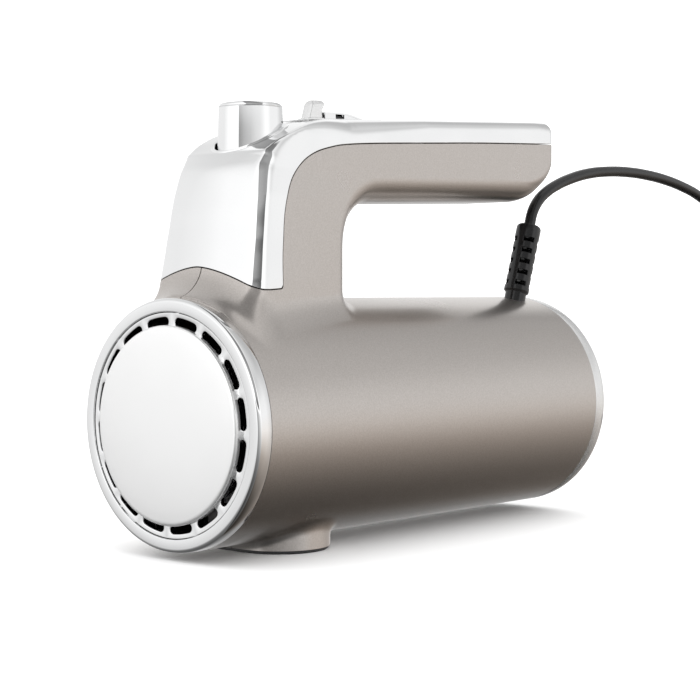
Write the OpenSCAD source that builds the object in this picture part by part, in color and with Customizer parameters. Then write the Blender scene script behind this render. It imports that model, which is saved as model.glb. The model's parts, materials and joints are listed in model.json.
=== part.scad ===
// Hand mixer with a cylindrical body, a loop handle on a front neck and two beater sockets.
// Millimetres. +Z is up and +Y runs rearward along the motor axis. The origin is the centre of
// the underside of the socket boss, which is the plane that the mixer stands on.

/* [Body] */
// Radius of the cylindrical body
body_r = 45; // [40:0.5:48]
// Height of the motor axis above the standing plane
axis_z = 48; // [47:0.5:52]
// Front edge of the body tube
body_front = -43.7; // [-46:0.1:-42]
// Rear edge of the body tube
body_rear = 155; // [150:1:170]
// Wall thickness of the plastic shells
wall = 2.5; // [2:0.1:3]

/* [Handle] */
// Half width of the handle
grip_half = 20; // [18:0.5:21]
// Rear end of the handle
grip_rear = 161; // [158:0.5:163]
// Slope of the handle's top line in degrees
grip_slope = 3.667; // [3:0.1:4]
// Height of the handle's top line at grip_ref
grip_top = 160.1; // [159:0.1:161]

/* [Controls] */
// Radius of the eject knob at its foot
knob_r = 12.4; // [11:0.1:12.6]
// Travel of the eject knob
knob_travel = 7; // [5:0.5:8]
// Travel of the speed slider
slider_travel = 8; // [6:0.5:9]
// Travel of the turbo button
turbo_travel = 2; // [1:0.5:2.5]

/* [Drive] */
// Distance from the mid-plane to each beater socket
socket_x = 15; // [15:0.01:15]
// Bore radius of a beater socket
socket_bore = 2.9; // [2.8:0.05:3.1]
// Teeth on each worm wheel
wheel_teeth = 22; // [22:1:22]
// Axial pitch of the worm thread
worm_pitch = 3; // [3:0.01:3]
// Radius of the motor shaft
shaft_r = 3; // [2.8:0.05:3.2]

/* [Cord] */
// Diameter of the mains cord
cord_d = 5; // [4.5:0.1:5.5]
// Middle radius of the stored coil
coil_r = 27.5; // [26:0.5:30]

/* [Hidden] */
$fn = 96;
eps = 0.01;

// Colours
taupe = [0.62, 0.58, 0.54];
chrome = [0.92, 0.93, 0.94];
satin = [0.85, 0.85, 0.86];
black = [0.08, 0.08, 0.09];
steel = [0.62, 0.63, 0.65];
brass = [0.80, 0.66, 0.36];
copper = [0.72, 0.42, 0.22];
green = [0.10, 0.36, 0.20];

// Handle top line: grip_top is its height at y = grip_ref
grip_ref = 20;
function top_line(y) = grip_top + (y - grip_ref) * tan(grip_slope);

// Underside of the handle
under_z = 131;
under_ref = 78;
function under_line(y) = under_z + (y - under_ref) * 0.038;

function arc(c, rx, ry, a0, a1, n) =
    [for (i = [0 : n]) let (a = a0 + (a1 - a0) * i / n) [c[0] + rx * cos(a), c[1] + ry * sin(a)]];

// Outline moved inward by d along each corner's bisector. Points run anticlockwise.
function unit(v) = v / norm(v);
function left_normal(v) = [-v[1], v[0]];
function inset(p, d) =
    let (n = len(p))
    [for (i = [0 : n - 1])
        let (a = unit(p[i] - p[(i + n - 1) % n]),
             b = unit(p[(i + 1) % n] - p[i]),
             m = left_normal(a) + left_normal(b))
        p[i] + m * (2 * d / (m * m))];

// Side outlines, as [y, z]
neck_rear = 25.4;
corner_r = 17.5;
end_drop = 18;
end_reach = 27;
end_z = 151.5;
neck_front = [
    [-36, 90], [-34.4, 99.4], [-32.7, 109], [-31.2, 118], [-29.8, 127], [-27.3, 138.4], [-24.9, 143.2]];
neck_crown = [[-23.2, 145.4], [-17, 148.9], [-11, 151.8], [-6, 154], [0, 156.2], [6, 157.9], [13, 159.2]];
neck_outline = concat(
    [[-36.4, 62], [neck_rear, 62], [neck_rear, 112]],
    arc([neck_rear + corner_r, 112], corner_r, corner_r, 172, 98, 8),
    [[46, 129.8], [46, top_line(46)], [grip_ref, grip_top]],
    [for (i = [len(neck_crown) - 1 : -1 : 0]) neck_crown[i]],
    [for (i = [len(neck_front) - 1 : -1 : 0]) neck_front[i]]);
handle_outline = concat(
    [[30, 129.2], [grip_rear - end_reach - 1, under_line(grip_rear - end_reach - 1)]],
    arc([grip_rear - end_reach, end_z], end_reach, end_drop, -88, 0, 14),
    arc([grip_rear - 5, top_line(grip_rear) - 5], 5, 5, 0, 80, 6),
    [[grip_ref, grip_top], [24, 150]]);

// Plan sections of the neck, as [height, half width at the front, front y at the middle]
neck_levels = [
    [62, 27.6, -36.4], [90, 27.4, -36], [99.4, 26.9, -34.4], [109, 26.1, -32.7], [118, 25.5, -31.2],
    [127, 25, -29.8], [138.4, 23.8, -27.3], [143.2, 23.3, -24.9], [147, 23.1, -23.6], [154, 22.6, -23.6],
    [158.5, 18.8, -23.6], [161, 15, -23.6], [175, 9, -23.6]];
neck_bow = 2.8;
neck_corner = 5;
// One half of a section moved inward by d, from the middle of the front to the rear corner
function half_section(w, front, d) =
    let (side_w = w - d, corner_y = front + neck_bow + neck_corner)
    concat(
        [for (k = [0 : 4]) let (x = (side_w - neck_corner) * k / 4)
            [x, front + d + neck_bow * pow(x / w, 2)]],
        arc([side_w - neck_corner, corner_y + d - 0.6], neck_corner, neck_corner, -60, 0, 4),
        [[min(grip_half - d, side_w), 26], [min(grip_half - d, side_w), 60]]);
function whole_section(h) =
    concat(h, [for (i = [len(h) - 1 : -1 : 1]) [-h[i][0], h[i][1]]]);

// Prism of a side outline [y, z], centred on the mid-plane
module side_prism(p, w) { rotate([90, 0, 90]) linear_extrude(w, center = true) polygon(p); }
// Prism of a front outline [x, z] from y0 to y1
module front_prism(p, y0, y1) {
    translate([0, y1, 0]) rotate([90, 0, 0]) linear_extrude(y1 - y0) polygon(p);
}
// Turned solid about the motor axis, from an outline of [radius, y]
module lathe(p) { translate([0, 0, axis_z]) rotate([-90, 0, 0]) rotate_extrude() polygon(p); }
// Cylinder along the motor's direction
module along_y(r, y0, y1, x = 0, z = axis_z) {
    translate([x, y0, z]) rotate([-90, 0, 0]) cylinder(r = r, h = y1 - y0);
}
module along_x(r, x0, x1, y, z) { translate([x0, y, z]) rotate([0, 90, 0]) cylinder(r = r, h = x1 - x0); }
// Upright slab with two round ends
module stadium(half_x, r, z0, z1) {
    straight = half_x - r;
    translate([-straight, -r, z0]) cube([2 * straight, 2 * r, z1 - z0]);
    for (s = [-1, 1]) translate([s * straight, 0, z0]) cylinder(r = r, h = z1 - z0);
}
// The handle's own axes: u rearward along its top line, w up from it
module on_grip() { translate([0, grip_ref, grip_top]) rotate([grip_slope, 0, 0]) children(); }

boss_half = 25.5;
boss_r = 18.5;
plate_t = 1.2;
module boss_block(d, z0) { stadium(boss_half - d, boss_r - d, z0, 40); }

// Outer form of the whole housing, moved inward by d
module neck_form(d) {
    intersection() {
        side_prism(inset(neck_outline, d), 80);
        neck_loft(d);
    }
}
module neck_loft(d) {
    rings = [for (l = neck_levels) [for (q = whole_section(half_section(l[1], l[2], d))) [q[0], q[1], l[0]]]];
    n = len(rings[0]);
    m = len(rings);
    polyhedron(
        points = [for (ring = rings) each ring],
        faces = concat(
            [[for (k = [0 : n - 1]) k]],
            [for (j = [0 : m - 2]) for (k = [0 : n - 1]) let (a = j * n + k, b = j * n + (k + 1) % n)
                each [[a, a + n, b], [b, a + n, b + n]]],
            [[for (k = [n - 1 : -1 : 0]) (m - 1) * n + k]]));
}
module handle_section(d) {
    square_half = grip_half - d;
    corner = 8;
    polygon(concat(
        arc([square_half - corner, -d - corner], corner, corner, 0, 90, 6),
        arc([-square_half + corner, -d - corner], corner, corner, 90, 180, 6),
        arc([-square_half + corner, -38 + corner], corner, corner, 180, 270, 6),
        arc([square_half - corner, -38 + corner], corner, corner, 270, 360, 6)));
}
module handle_form(d) {
    intersection() {
        side_prism(inset(handle_outline, d), 80);
        on_grip() translate([0, 150, 0]) rotate([90, 0, 0]) linear_extrude(158) handle_section(d);
        translate([0, 0, 100]) linear_extrude(90) polygon(concat(
            [[grip_half - d, -10]],
            arc([grip_half - d - 8, grip_rear - d - 8], 8, 8, 0, 90, 6),
            arc([-grip_half + d + 8, grip_rear - d - 8], 8, 8, 90, 180, 6),
            [[-grip_half + d, -10]]));
    }
}
module outer_form() {
    along_y(body_r, body_front, body_rear);
    neck_form(0);
    handle_form(0);
    boss_block(0, plate_t);
}
module inner_form() {
    along_y(body_r - wall, body_front - 1, body_rear + 1);
    neck_form(wall);
    handle_form(wall);
    boss_block(wall, plate_t - 1);
}

// Side line between the bright cover and the housing, as [y, z], from the rear to the foot
seam = [
    [166, 159.7], [150, 158.8], [107, 156.4], [74, 154.2], [40, 151.9], [21.4, 150.2], [12.5, 148.6],
    [5, 146.6], [-1.5, 143.6], [-6.4, 139.8], [-10.3, 135.4], [-13.1, 129.8], [-15.2, 122.6],
    [-16.4, 113.7], [-17.3, 106], [-17.7, 97], [-18, 80]];
// Foot line of the bright cover over x: a low wave with its crest a little off the middle
cover_foot = 95.9;
cover_wave = 8.2;
wave_half = 29;
wave_x = -2.5;
function foot_line(x) = cover_foot + cover_wave * max(1 - pow(abs(x - wave_x) / wave_half, 1.6), 0);
module cover_region() {
    difference() {
        side_prism(concat(seam, [[-60, 80], [-60, 190], [166, 190]]), 80);
        front_prism(concat(
            [[-40, 70]], [for (x = [-33 : 3 : 33]) [x, foot_line(x) + eps]], [[40, 70]]), -61, -10);
    }
}

// Controls on the handle's top
knob_y = -8.3;
knob_top = 164.3;
knob_foot = 140.5;
hole_r = 13.2;
slot = [2.6, -7.3, 8.9];
turbo_u = [9.3, 32];
turbo_half = 3.2;
module knob_hole() { translate([0, knob_y, 120]) cylinder(r = hole_r, h = 60); }
module control_openings(grow) {
    on_grip() {
        translate([-slot[0] - grow, slot[1], -8]) cube([2 * (slot[0] + grow), slot[2] - slot[1], 16]);
        translate([-turbo_half - grow, turbo_u[0] - grow, -8])
            cube([2 * (turbo_half + grow), turbo_u[1] - turbo_u[0] + 2 * grow, 16]);
    }
}

// Screw posts that join the two halves: [y, z]
posts = [[-30, 18], [140, 17], [140, 79], [66, 143], [140, 147]];
screw_r = 1.5;
module screw_posts(r, x0, x1) { for (p = posts) along_x(r, x0, x1, p[0], p[1]); }
relief_x = 8;
relief_y = 146.7;
relief_tilt = 18.6;
relief_reach = 34.5;
module on_relief() { translate([relief_x, relief_y, 91.2]) rotate([-relief_tilt, 0, 0]) children(); }
relief_seat_r = 4.6;
relief_flange_r = 5.4;
relief_sink = 3.4;

module housing_shell() {
    difference() {
        union() {
            difference() {
                outer_form();
                inner_form();
            }
            intersection() {
                outer_form();
                union() {
                    screw_posts(4, -40, 40);
                    translate([relief_x - 8, relief_y - 9, 82]) cube([16, 13, 14]);
                }
            }
        }
        cover_region();
        on_relief() {
            translate([0, 0, -14]) cylinder(r = relief_seat_r, h = 30);
            translate([0, 0, -14]) cylinder(r = relief_flange_r + 0.1, h = 14 - relief_sink);
        }
    }
}
module housing_left() {
    color(taupe) difference() {
        housing_shell();
        translate([0, -80, -10]) cube([100, 300, 220]);
        screw_posts(screw_r + 0.3, -50, 1);
        for (p = posts) along_x(3.2, -60, post_seat(p), p[0], p[1]);
    }
}
// Depth of the screw heads' recesses: the wall is further out on the body than on the handle
function post_seat(p) = p[1] > 100 ? -14 : -22;
module housing_right() {
    color(taupe) difference() {
        housing_shell();
        translate([-100, -80, -10]) cube([100, 300, 220]);
        screw_posts(screw_r + 0.02, -1, 10);
    }
}
module housing_screws() {
    color(steel) for (p = posts) {
        along_x(screw_r, post_seat(p), 9, p[0], p[1]);
        along_x(2.8, post_seat(p) - 2, post_seat(p), p[0], p[1]);
    }
}

cover_t = 2.2;
collar_t = 1.5;
module front_cover() {
    color(chrome) difference() {
        union() {
            intersection() {
                difference() {
                    union() {
                        neck_form(0);
                        handle_form(0);
                    }
                    neck_form(cover_t);
                    handle_form(cover_t);
                }
                cover_region();
            }
            intersection() {
                translate([0, knob_y, 139]) cylinder(r = hole_r + collar_t, h = 40);
                side_prism(inset(neck_outline, -0.7), 80);
            }
        }
        knob_hole();
        control_openings(0.4);
    }
}

ring_lip = -50;
module front_ring() {
    color(chrome) lathe([
        [40.15, -39], [40.15, -49.6], [40.5, ring_lip], [43.9, ring_lip], [44.6, -49.6], [45, -48.7],
        [45.1, body_front], [body_r - wall - 0.1, body_front], [body_r - wall - 0.1, -39]]);
}
grille_y = -49.4;
slots = 16;
module vent_slot(r0, r1, span) {
    end = (r1 - r0) / 2;
    mid = (r0 + r1) / 2;
    lean = span / 2 - end / mid * 180 / PI;
    polygon(concat(
        arc([0, 0], r1, r1, -lean, lean, 6),
        [for (a = [30 : 30 : 150]) [mid * cos(lean), mid * sin(lean)]
            + end * [cos(lean + a), sin(lean + a)]],
        arc([0, 0], r0, r0, lean, -lean, 6),
        [for (a = [210 : 30 : 330]) [mid * cos(-lean), mid * sin(-lean)]
            + end * [cos(-lean + a), sin(-lean + a)]]));
}
module vent_grille() {
    color(satin) translate([0, grille_y + 2, axis_z]) rotate([90, 0, 0]) linear_extrude(2)
        difference() {
            circle(39.9);
            circle(30);
            for (i = [0 : slots - 1]) rotate(99 + i * 360 / slots) vent_slot(35.1, 38.3, 17.6);
        }
}
module front_disc() {
    color(satin) lathe([
        [0, -52.4], [12, -52.35], [22, -52.2], [30, -51.95], [34.4, -51.7], [35.2, -51.3], [35.5, -50.7],
        [35.5, grille_y], [28, grille_y], [28, grille_y + 1.5], [0, grille_y + 1.5]]);
}
cap_rear = 164.8;
module rear_cap() {
    color(satin) lathe([
        [0, cap_rear], [20, cap_rear - 0.2], [34, cap_rear - 0.55], [40, cap_rear - 0.95],
        [42.6, cap_rear - 1.4], [44, cap_rear - 2.3], [44.75, cap_rear - 3.5], [body_r, cap_rear - 4.9],
        [body_r, body_rear], [body_r - wall - 0.1, body_rear], [body_r - wall - 0.1, body_rear - 3.5],
        [body_r - wall - 2, body_rear - 3.5], [body_r - wall - 2, cap_rear - 4.5], [0, cap_rear - 2.5]]);
}
module base_plate() {
    color(black) difference() {
        stadium(boss_half - 0.5, boss_r - 0.5, 0, plate_t);
        for (s = [-1, 1]) translate([s * socket_x, 0, -1]) cylinder(r = 5.8, h = 4);
    }
}

// Beater release
stem_r = 3.6;
guide_z = 96;
fork_z = 73.2;
fork_pin = 42;
module eject_knob() {
    color(chrome) translate([0, knob_y, 0]) rotate_extrude() polygon([
        [0, knob_top], [10.9, knob_top], [11.6, knob_top - 0.5], [11.9, knob_top - 1.5], [knob_r, knob_foot],
        [10.6, knob_foot], [10.2, knob_top - 3], [stem_r, knob_top - 3],
        [stem_r, fork_z + 6], [0, fork_z + 6]]);
}
pin_r = 1.4;
module eject_fork() {
    color(steel) {
        translate([0, knob_y, fork_z]) cylinder(r = stem_r, h = 6);
        translate([-4, knob_y, fork_z]) cube([8, -knob_y + 3, 3]);
        translate([-socket_x - 3, -3, fork_z]) cube([2 * socket_x + 6, 6, 3]);
        for (s = [-1, 1]) translate([s * socket_x, 0, fork_z - fork_pin])
            cylinder(r = pin_r, h = fork_pin + 1);
    }
}
module eject_guide() {
    color(black) difference() {
        translate([-17, -28, guide_z - 3]) cube([34, 48, 3]);
        translate([0, knob_y, guide_z - 4]) cylinder(r = stem_r + 0.4, h = 6);
    }
}
spring_turns = 9;
module eject_spring() {
    color(steel) for (i = [0 : spring_turns - 1])
        translate([0, knob_y, guide_z + 0.8 + i * 2.6])
            rotate_extrude() translate([6, 0]) circle(r = 0.7, $fn = 24);
    color(steel) for (i = [0 : spring_turns - 2])
        translate([0, knob_y + 6, guide_z + 0.8 + i * 2.6]) cylinder(r = 0.5, h = 2.6, $fn = 24);
    color(steel) translate([0, knob_y, guide_z + spring_turns * 2.6 - 1])
        difference() {
            cylinder(r = 6.7, h = 1.2);
            translate([0, 0, -1]) cylinder(r = stem_r + 0.4, h = 4);
        }
}

// Speed slider and turbo button, in the handle's own axes
bezel_half = 9;
bezel_front = -8.1;
bezel_end = 36;
bezel_t = 0.5;
bezel_gap = 0.02;
module control_bezel() {
    color(chrome) on_grip() difference() {
        side_prism([
            [bezel_front, bezel_gap - 0.2], [0, bezel_gap], [bezel_end, bezel_gap], [bezel_end, bezel_t],
            [-5, bezel_t], [bezel_front, 0.35]], 2 * bezel_half);
        translate([-slot[0], slot[1] + 0.3, -3]) cube([2 * slot[0], slot[2] - slot[1] - 0.3, 8]);
        translate([-turbo_half - 0.4, turbo_u[0] - 0.4, -3])
            cube([2 * turbo_half + 0.8, turbo_u[1] - turbo_u[0] + 0.8, 8]);
    }
}
tab_half = 2.4;
module speed_slider() {
    color(chrome) on_grip() {
        side_prism([
            [1.1, 1], [8.7, 1], [8.8, 4], [10.5, 6.6], [10, 7.8], [9.3, 8.15], [5, 8.2], [4.1, 7.9],
            [3.4, 6.6]], 2 * tab_half);
        translate([-3.4, 0.4, 0.8]) cube([6.8, 8.6, 0.5]);
        translate([-2.2, 1.3, -6]) cube([4.4, 7.2, 7.3]);
    }
}
module speed_switch() {
    color(black) on_grip() difference() {
        translate([-8, -11.5, -18]) cube([16, 17, 11]);
        translate([-3, -10.3, -9]) cube([6, 14.6, 4]);
    }
}
turbo_roof = [
    [turbo_u[0], 3.5], [14, 3.5], [20, 3.3], [25, 2.6], [29, 1.6], [turbo_u[1], 0.7]];
module turbo_button() {
    color(chrome) on_grip() difference() {
        side_prism(concat(
            [for (i = [len(turbo_roof) - 1 : -1 : 0]) turbo_roof[i]],
            [[turbo_u[0], -4.5], [turbo_u[1], -4.5]]), 2 * turbo_half);
        side_prism([[10.4, -6], [30.6, -6], [30.6, -0.2], [25, 1.6], [20, 2.3], [14, 2.5], [10.4, 2.5]],
            2 * turbo_half - 2.4);
        side_prism([[15.6, -1.2], [20.6, -1.2], [20.6, 1.9], [20, 2.3], [15.6, 2.5]], 2 * turbo_half + 2);
    }
}
module turbo_core() {
    color(black) on_grip() {
        side_prism([[15.2, -4], [21, -4], [21, 1.6], [20, 2], [15.2, 2.2]], 2 * turbo_half - 2.6);
        translate([-1.5, 16.6, -7.5]) cube([3, 3, 4]);
    }
}
module turbo_spring() {
    color(steel) on_grip() translate([0, 12.6, -6.8])
        difference() {
            cylinder(r = 1.8, h = 2.2);
            translate([0, 0, -1]) cylinder(r = 1.2, h = 5);
        }
}
module turbo_switch() {
    color(black) on_grip() {
        translate([-6, 14.6, -17]) cube([12, 16, 7.2]);
        translate([-6, 11.7, -9.2]) cube([12, 2.9, 2.2]);
    }
}

// Gear train
plate_low = [8, 12];
plate_high = [60, 64];
end_wall = [14.5, 18];
module gearbox_frame() {
    color(steel) difference() {
        union() {
            stadium(22.5, 15.5, plate_low[0], plate_low[1]);
            stadium(22.5, 15.5, plate_high[0], plate_high[1]);
            for (s = [-1, 1]) translate([s * socket_x, 0, 4]) cylinder(r = 7.4, h = 5);
            for (s = [-1, 1]) translate([-13, s > 0 ? end_wall[0] : -end_wall[1], plate_low[0]])
                cube([26, end_wall[1] - end_wall[0], plate_high[1] - plate_low[0]]);
        }
        for (s = [-1, 1]) translate([s * socket_x, 0, 0]) cylinder(r = 6.5, h = 80);
        along_y(6.5, -30, 30);
    }
}
module ring_y(r0, r1, y0, y1) {
    difference() {
        along_y(r1, y0, y1);
        along_y(r0, y0 - 1, y1 + 1);
    }
}
bearing_gap = 0.03;
module front_bearing() { color(steel) ring_y(shaft_r + bearing_gap, 6.5, -18, -14.5); }
module middle_bearing() { color(steel) ring_y(shaft_r + bearing_gap, 6.5, 14.5, 18); }
module rear_bearing() { color(steel) ring_y(shaft_r + bearing_gap, 6.5, 114, 119); }
spindle_r = 4.8;
tail_r = 3.8;
bush_gap = 0.05;
module spindle_bushes() {
    color(brass) for (s = [-1, 1]) translate([s * socket_x, 0, 0]) {
        difference() {
            translate([0, 0, 4]) cylinder(r = 6.5, h = 8);
            cylinder(r = spindle_r + bush_gap, h = 20);
        }
        difference() {
            translate([0, 0, 60]) cylinder(r = 6.5, h = 4);
            translate([0, 0, 50]) cylinder(r = tail_r + bush_gap, h = 20);
        }
    }
}
wheel_low = 45.5;
wheel_high = 50.5;
module spindle() {
    color(steel) difference() {
        rotate_extrude() polygon([
            [0, 1], [spindle_r, 1], [spindle_r, wheel_low], [tail_r + 0.7, wheel_low],
            [tail_r + 0.7, wheel_high + 1], [tail_r, wheel_high + 1], [tail_r, 65], [0, 65]]);
        translate([0, 0, -1]) cylinder(r = socket_bore, h = 31);
        cylinder(r = pin_r + 0.4, h = 80);
    }
}
module spindle_left() { translate([-socket_x, 0, 0]) spindle(); }
module spindle_right() { translate([socket_x, 0, 0]) spindle(); }
wheel_pitch_r = 10.5;
wheel_root_r = 9.4;
wheel_tip_r = 11;
tooth_half_root = 0.62;
tooth_half_tip = 0.26;
module worm_wheel(turn) {
    color(brass) translate([0, 0, wheel_low]) linear_extrude(wheel_high - wheel_low) difference() {
        rotate(turn) polygon([for (i = [0 : wheel_teeth - 1]) let (a = i * 360 / wheel_teeth)
            each [[wheel_root_r, -tooth_half_root], [wheel_tip_r, -tooth_half_tip],
                  [wheel_tip_r, tooth_half_tip], [wheel_root_r, tooth_half_root]]
                 * [[cos(a), sin(a)], [-sin(a), cos(a)]]]);
        circle(tail_r + 0.72);
    }
}
module gear_left() { translate([-socket_x, 0, 0]) worm_wheel(0); }
module gear_right() { translate([socket_x, 0, 0]) worm_wheel(180 / wheel_teeth); }

// Worm: one thread, centred on +X at y = 0
worm_root_r = 3.7;
worm_tip_r = 5.2;
worm_half = 9;
worm_steps = 20;
function thread_r(a) = let (t = abs(a))
    t < 36 ? worm_tip_r : t > 84 ? worm_root_r : worm_tip_r - (worm_tip_r - worm_root_r) * (t - 36) / 48;
module worm_shaft() {
    color(steel) {
        translate([0, -worm_half, axis_z]) rotate([-90, 0, 0])
            linear_extrude(2 * worm_half, twist = -360 * 2 * worm_half / worm_pitch,
                slices = 2 * worm_half / worm_pitch * worm_steps, $fn = 20)
            polygon([for (i = [0 : 23]) let (a = -180 + i * 15) thread_r(a) * [cos(a), sin(a)]]);
        along_y(shaft_r, -43, -worm_half);
        along_y(shaft_r, worm_half, 121);
    }
}
fan_y = [-43, -35];
module cooling_fan() {
    color(black) difference() {
        union() {
            along_y(8, fan_y[0], fan_y[1]);
            along_y(29, fan_y[1] - 1.4, fan_y[1]);
            for (i = [0 : 10]) translate([0, 0, axis_z]) rotate([0, i * 360 / 11, 0])
                translate([7, fan_y[0] + 1, -0.6]) rotate([0, 14, 0]) cube([22, 6.2, 1.2]);
        }
        along_y(shaft_r, fan_y[0] - 1, fan_y[1] + 1);
    }
}

// Motor
core_y = [38, 76];
core_r = 16.6;
module armature_core() {
    color(steel) difference() {
        along_y(core_r, core_y[0], core_y[1]);
        along_y(shaft_r, core_y[0] - 1, core_y[1] + 1);
        for (i = [0 : 11]) translate([0, core_y[0] - 1, axis_z]) rotate([0, i * 30, 0])
            translate([core_r - 5, 0, -1.1]) cube([8, core_y[1] - core_y[0] + 2, 2.2]);
    }
}
module armature_winding() {
    color(copper) {
        ring_y(shaft_r + 1, core_r - 2.6, core_y[0] - 6, core_y[0]);
        ring_y(shaft_r + 1, core_r - 2.6, core_y[1], core_y[1] + 7);
        ring_y(shaft_r, shaft_r + 1, core_y[0] - 6, core_y[0]);
        ring_y(shaft_r, shaft_r + 1, core_y[1], core_y[1] + 7);
    }
}
comm_y = [88, 102];
comm_r = 9.5;
module commutator() {
    color(copper) difference() {
        along_y(comm_r, comm_y[0], comm_y[1]);
        along_y(shaft_r, comm_y[0] - 1, comm_y[1] + 1);
        for (i = [0 : 23]) translate([0, comm_y[0] - 1, axis_z]) rotate([0, i * 15, 0])
            translate([comm_r - 0.8, 0, -0.25]) cube([2, comm_y[1] - comm_y[0] - 2, 0.5]);
    }
}
stator_r = 32;
pole_r = 17.1;
module stator_core() {
    color(steel) difference() {
        intersection() {
            along_y(stator_r, core_y[0], core_y[1]);
            translate([-28, core_y[0], axis_z - 32]) cube([56, core_y[1] - core_y[0], 64]);
        }
        along_y(pole_r, core_y[0] - 1, core_y[1] + 1);
        for (s = [-1, 1]) translate([-20, core_y[0] - 1, axis_z + s * 18.5 - 4.5])
            cube([40, core_y[1] - core_y[0] + 2, 9]);
        for (s = [-1, 1]) along_y(1.7, core_y[0] - 1, core_y[1] + 1, s * 24.6, axis_z);
    }
}
module field_coils() {
    color(copper) for (s = [-1, 1]) difference() {
        translate([-19.5, core_y[0] - 7, axis_z + s * 18.5 - 4])
            cube([39, core_y[1] - core_y[0] + 14, 8]);
        along_y(pole_r + 0.6, core_y[0] - 10, core_y[1] + 10);
    }
}
bracket_r = 42.2;
module motor_bracket() {
    color(black) difference() {
        union() {
            along_y(bracket_r, 113, 116);
            along_y(10, 112, 120);
            for (s = [-1, 1]) translate([s * 24.6 - 5, 78, axis_z - 5]) cube([10, 36, 10]);
        }
        along_y(6.5, 100, 130);
        for (i = [0 : 5]) translate([0, 110, axis_z]) rotate([0, 30 + i * 60, 0]) translate([27, 0, 0])
            rotate([-90, 0, 0]) cylinder(r = 8, h = 10);
        for (s = [-1, 1]) along_y(1.7, 70, 130, s * 24.6, axis_z);
    }
}
module motor_bolts() {
    color(steel) for (s = [-1, 1]) {
        along_y(1.6, 30, 116, s * 24.6, axis_z);
        along_y(3, 116, 118.4, s * 24.6, axis_z);
    }
}
brush_y = [92, 98];
module brush_holders() {
    color(brass) for (s = [-1, 1]) difference() {
        translate([s * 14.8 - 4.4, brush_y[0] - 0.8, axis_z - 3.3]) cube([8.8, 7.6, 6.6]);
        translate([s * 14.8 - 5, brush_y[0], axis_z - 2.5]) cube([10, 6, 5]);
    }
}
module carbon_brushes() {
    color(black) for (s = [-1, 1]) translate([s * 14.2 - 4.2, brush_y[0], axis_z - 2.5]) cube([8.4, 6, 5]);
}
module control_board() {
    color(green) difference() {
        along_y(38, 126, 127.6);
        translate([-50, 120, axis_z + 26]) cube([100, 12, 30]);
        translate([-50, 120, axis_z - 56]) cube([100, 12, 30]);
        along_y(12, 120, 130);
    }
    color(black) {
        translate([16, 127.6, axis_z - 8]) cube([12, 9, 16]);
        translate([-30, 127.6, axis_z - 12]) cube([9, 14, 18]);
        along_y(5, 127.6, 141, 8, axis_z - 19);
    }
}

// Strain relief: a tapered ribbed sleeve, in its own axis
module strain_relief() {
    color(black) on_relief() {
        difference() {
            rotate_extrude() polygon(concat(
                [[0, -6], [relief_flange_r, -6], [relief_flange_r, -relief_sink],
                 [relief_seat_r, -relief_sink], [relief_seat_r, 3.4], [5.5, 4.3], [5.5, 6.2]],
                [for (i = [0 : 4]) each [
                    [4.2, 6.4 + i * 5], [4.2, 8.4 + i * 5], [5.3, 8.6 + i * 5], [5.3, 11.2 + i * 5]]],
                [[5.4, 31.4], [5.4, 33.8], [4.9, relief_reach], [0, relief_reach]]));
            translate([0, 0, relief_reach - 30]) cylinder(r = cord_d / 2, h = 40);
        }
    }
}

// Free run of the cord, from the strain relief to the coil. It arches out, drops and lands
cord_route = [
    [8, 157.7, 124], [8, 160.2, 130.4], [8, 164.4, 135.4], [8, 170.4, 139.4], [8, 178.4, 142.9],
    [8, 190, 146.5], [8, 204, 149.5], [8, 220, 151.3], [8, 238, 152], [8, 256, 151.5],
    [8, 273, 150], [8, 289, 147.5], [8, 304, 144], [8, 317, 139], [8, 328, 131.5],
    [8, 336, 121.5], [8, 341, 109.5], [8, 343.5, 96], [8, 344.5, 82], [8, 345, 68],
    [8, 346, 54], [8, 348.5, 40.5], [8, 353, 28.5], [8, 360.5, 18.5], [8, 371, 11.2], [8, 380, 8.3]];
coil_centre = [43, 384];
module tube_sweep(route, r, sides) {
    n = len(route);
    rings = [for (i = [0 : n - 1])
        let (t = unit(route[min(i + 1, n - 1)] - route[max(i - 1, 0)]),
             side = unit(cross(t, [1, 0, 0])))
        for (k = [0 : sides - 1]) let (a = k * 360 / sides)
            route[i] + r * (cos(a) * [1, 0, 0] + sin(a) * side)];
    polyhedron(
        points = rings,
        faces = concat(
            [[for (k = [0 : sides - 1]) k]],
            [for (i = [0 : n - 2]) for (k = [0 : sides - 1]) let (m = (k + 1) % sides)
                [i * sides + k, (i + 1) * sides + k, (i + 1) * sides + m, i * sides + m]],
            [[for (k = [sides - 1 : -1 : 0]) (n - 1) * sides + k]]));
}
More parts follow.
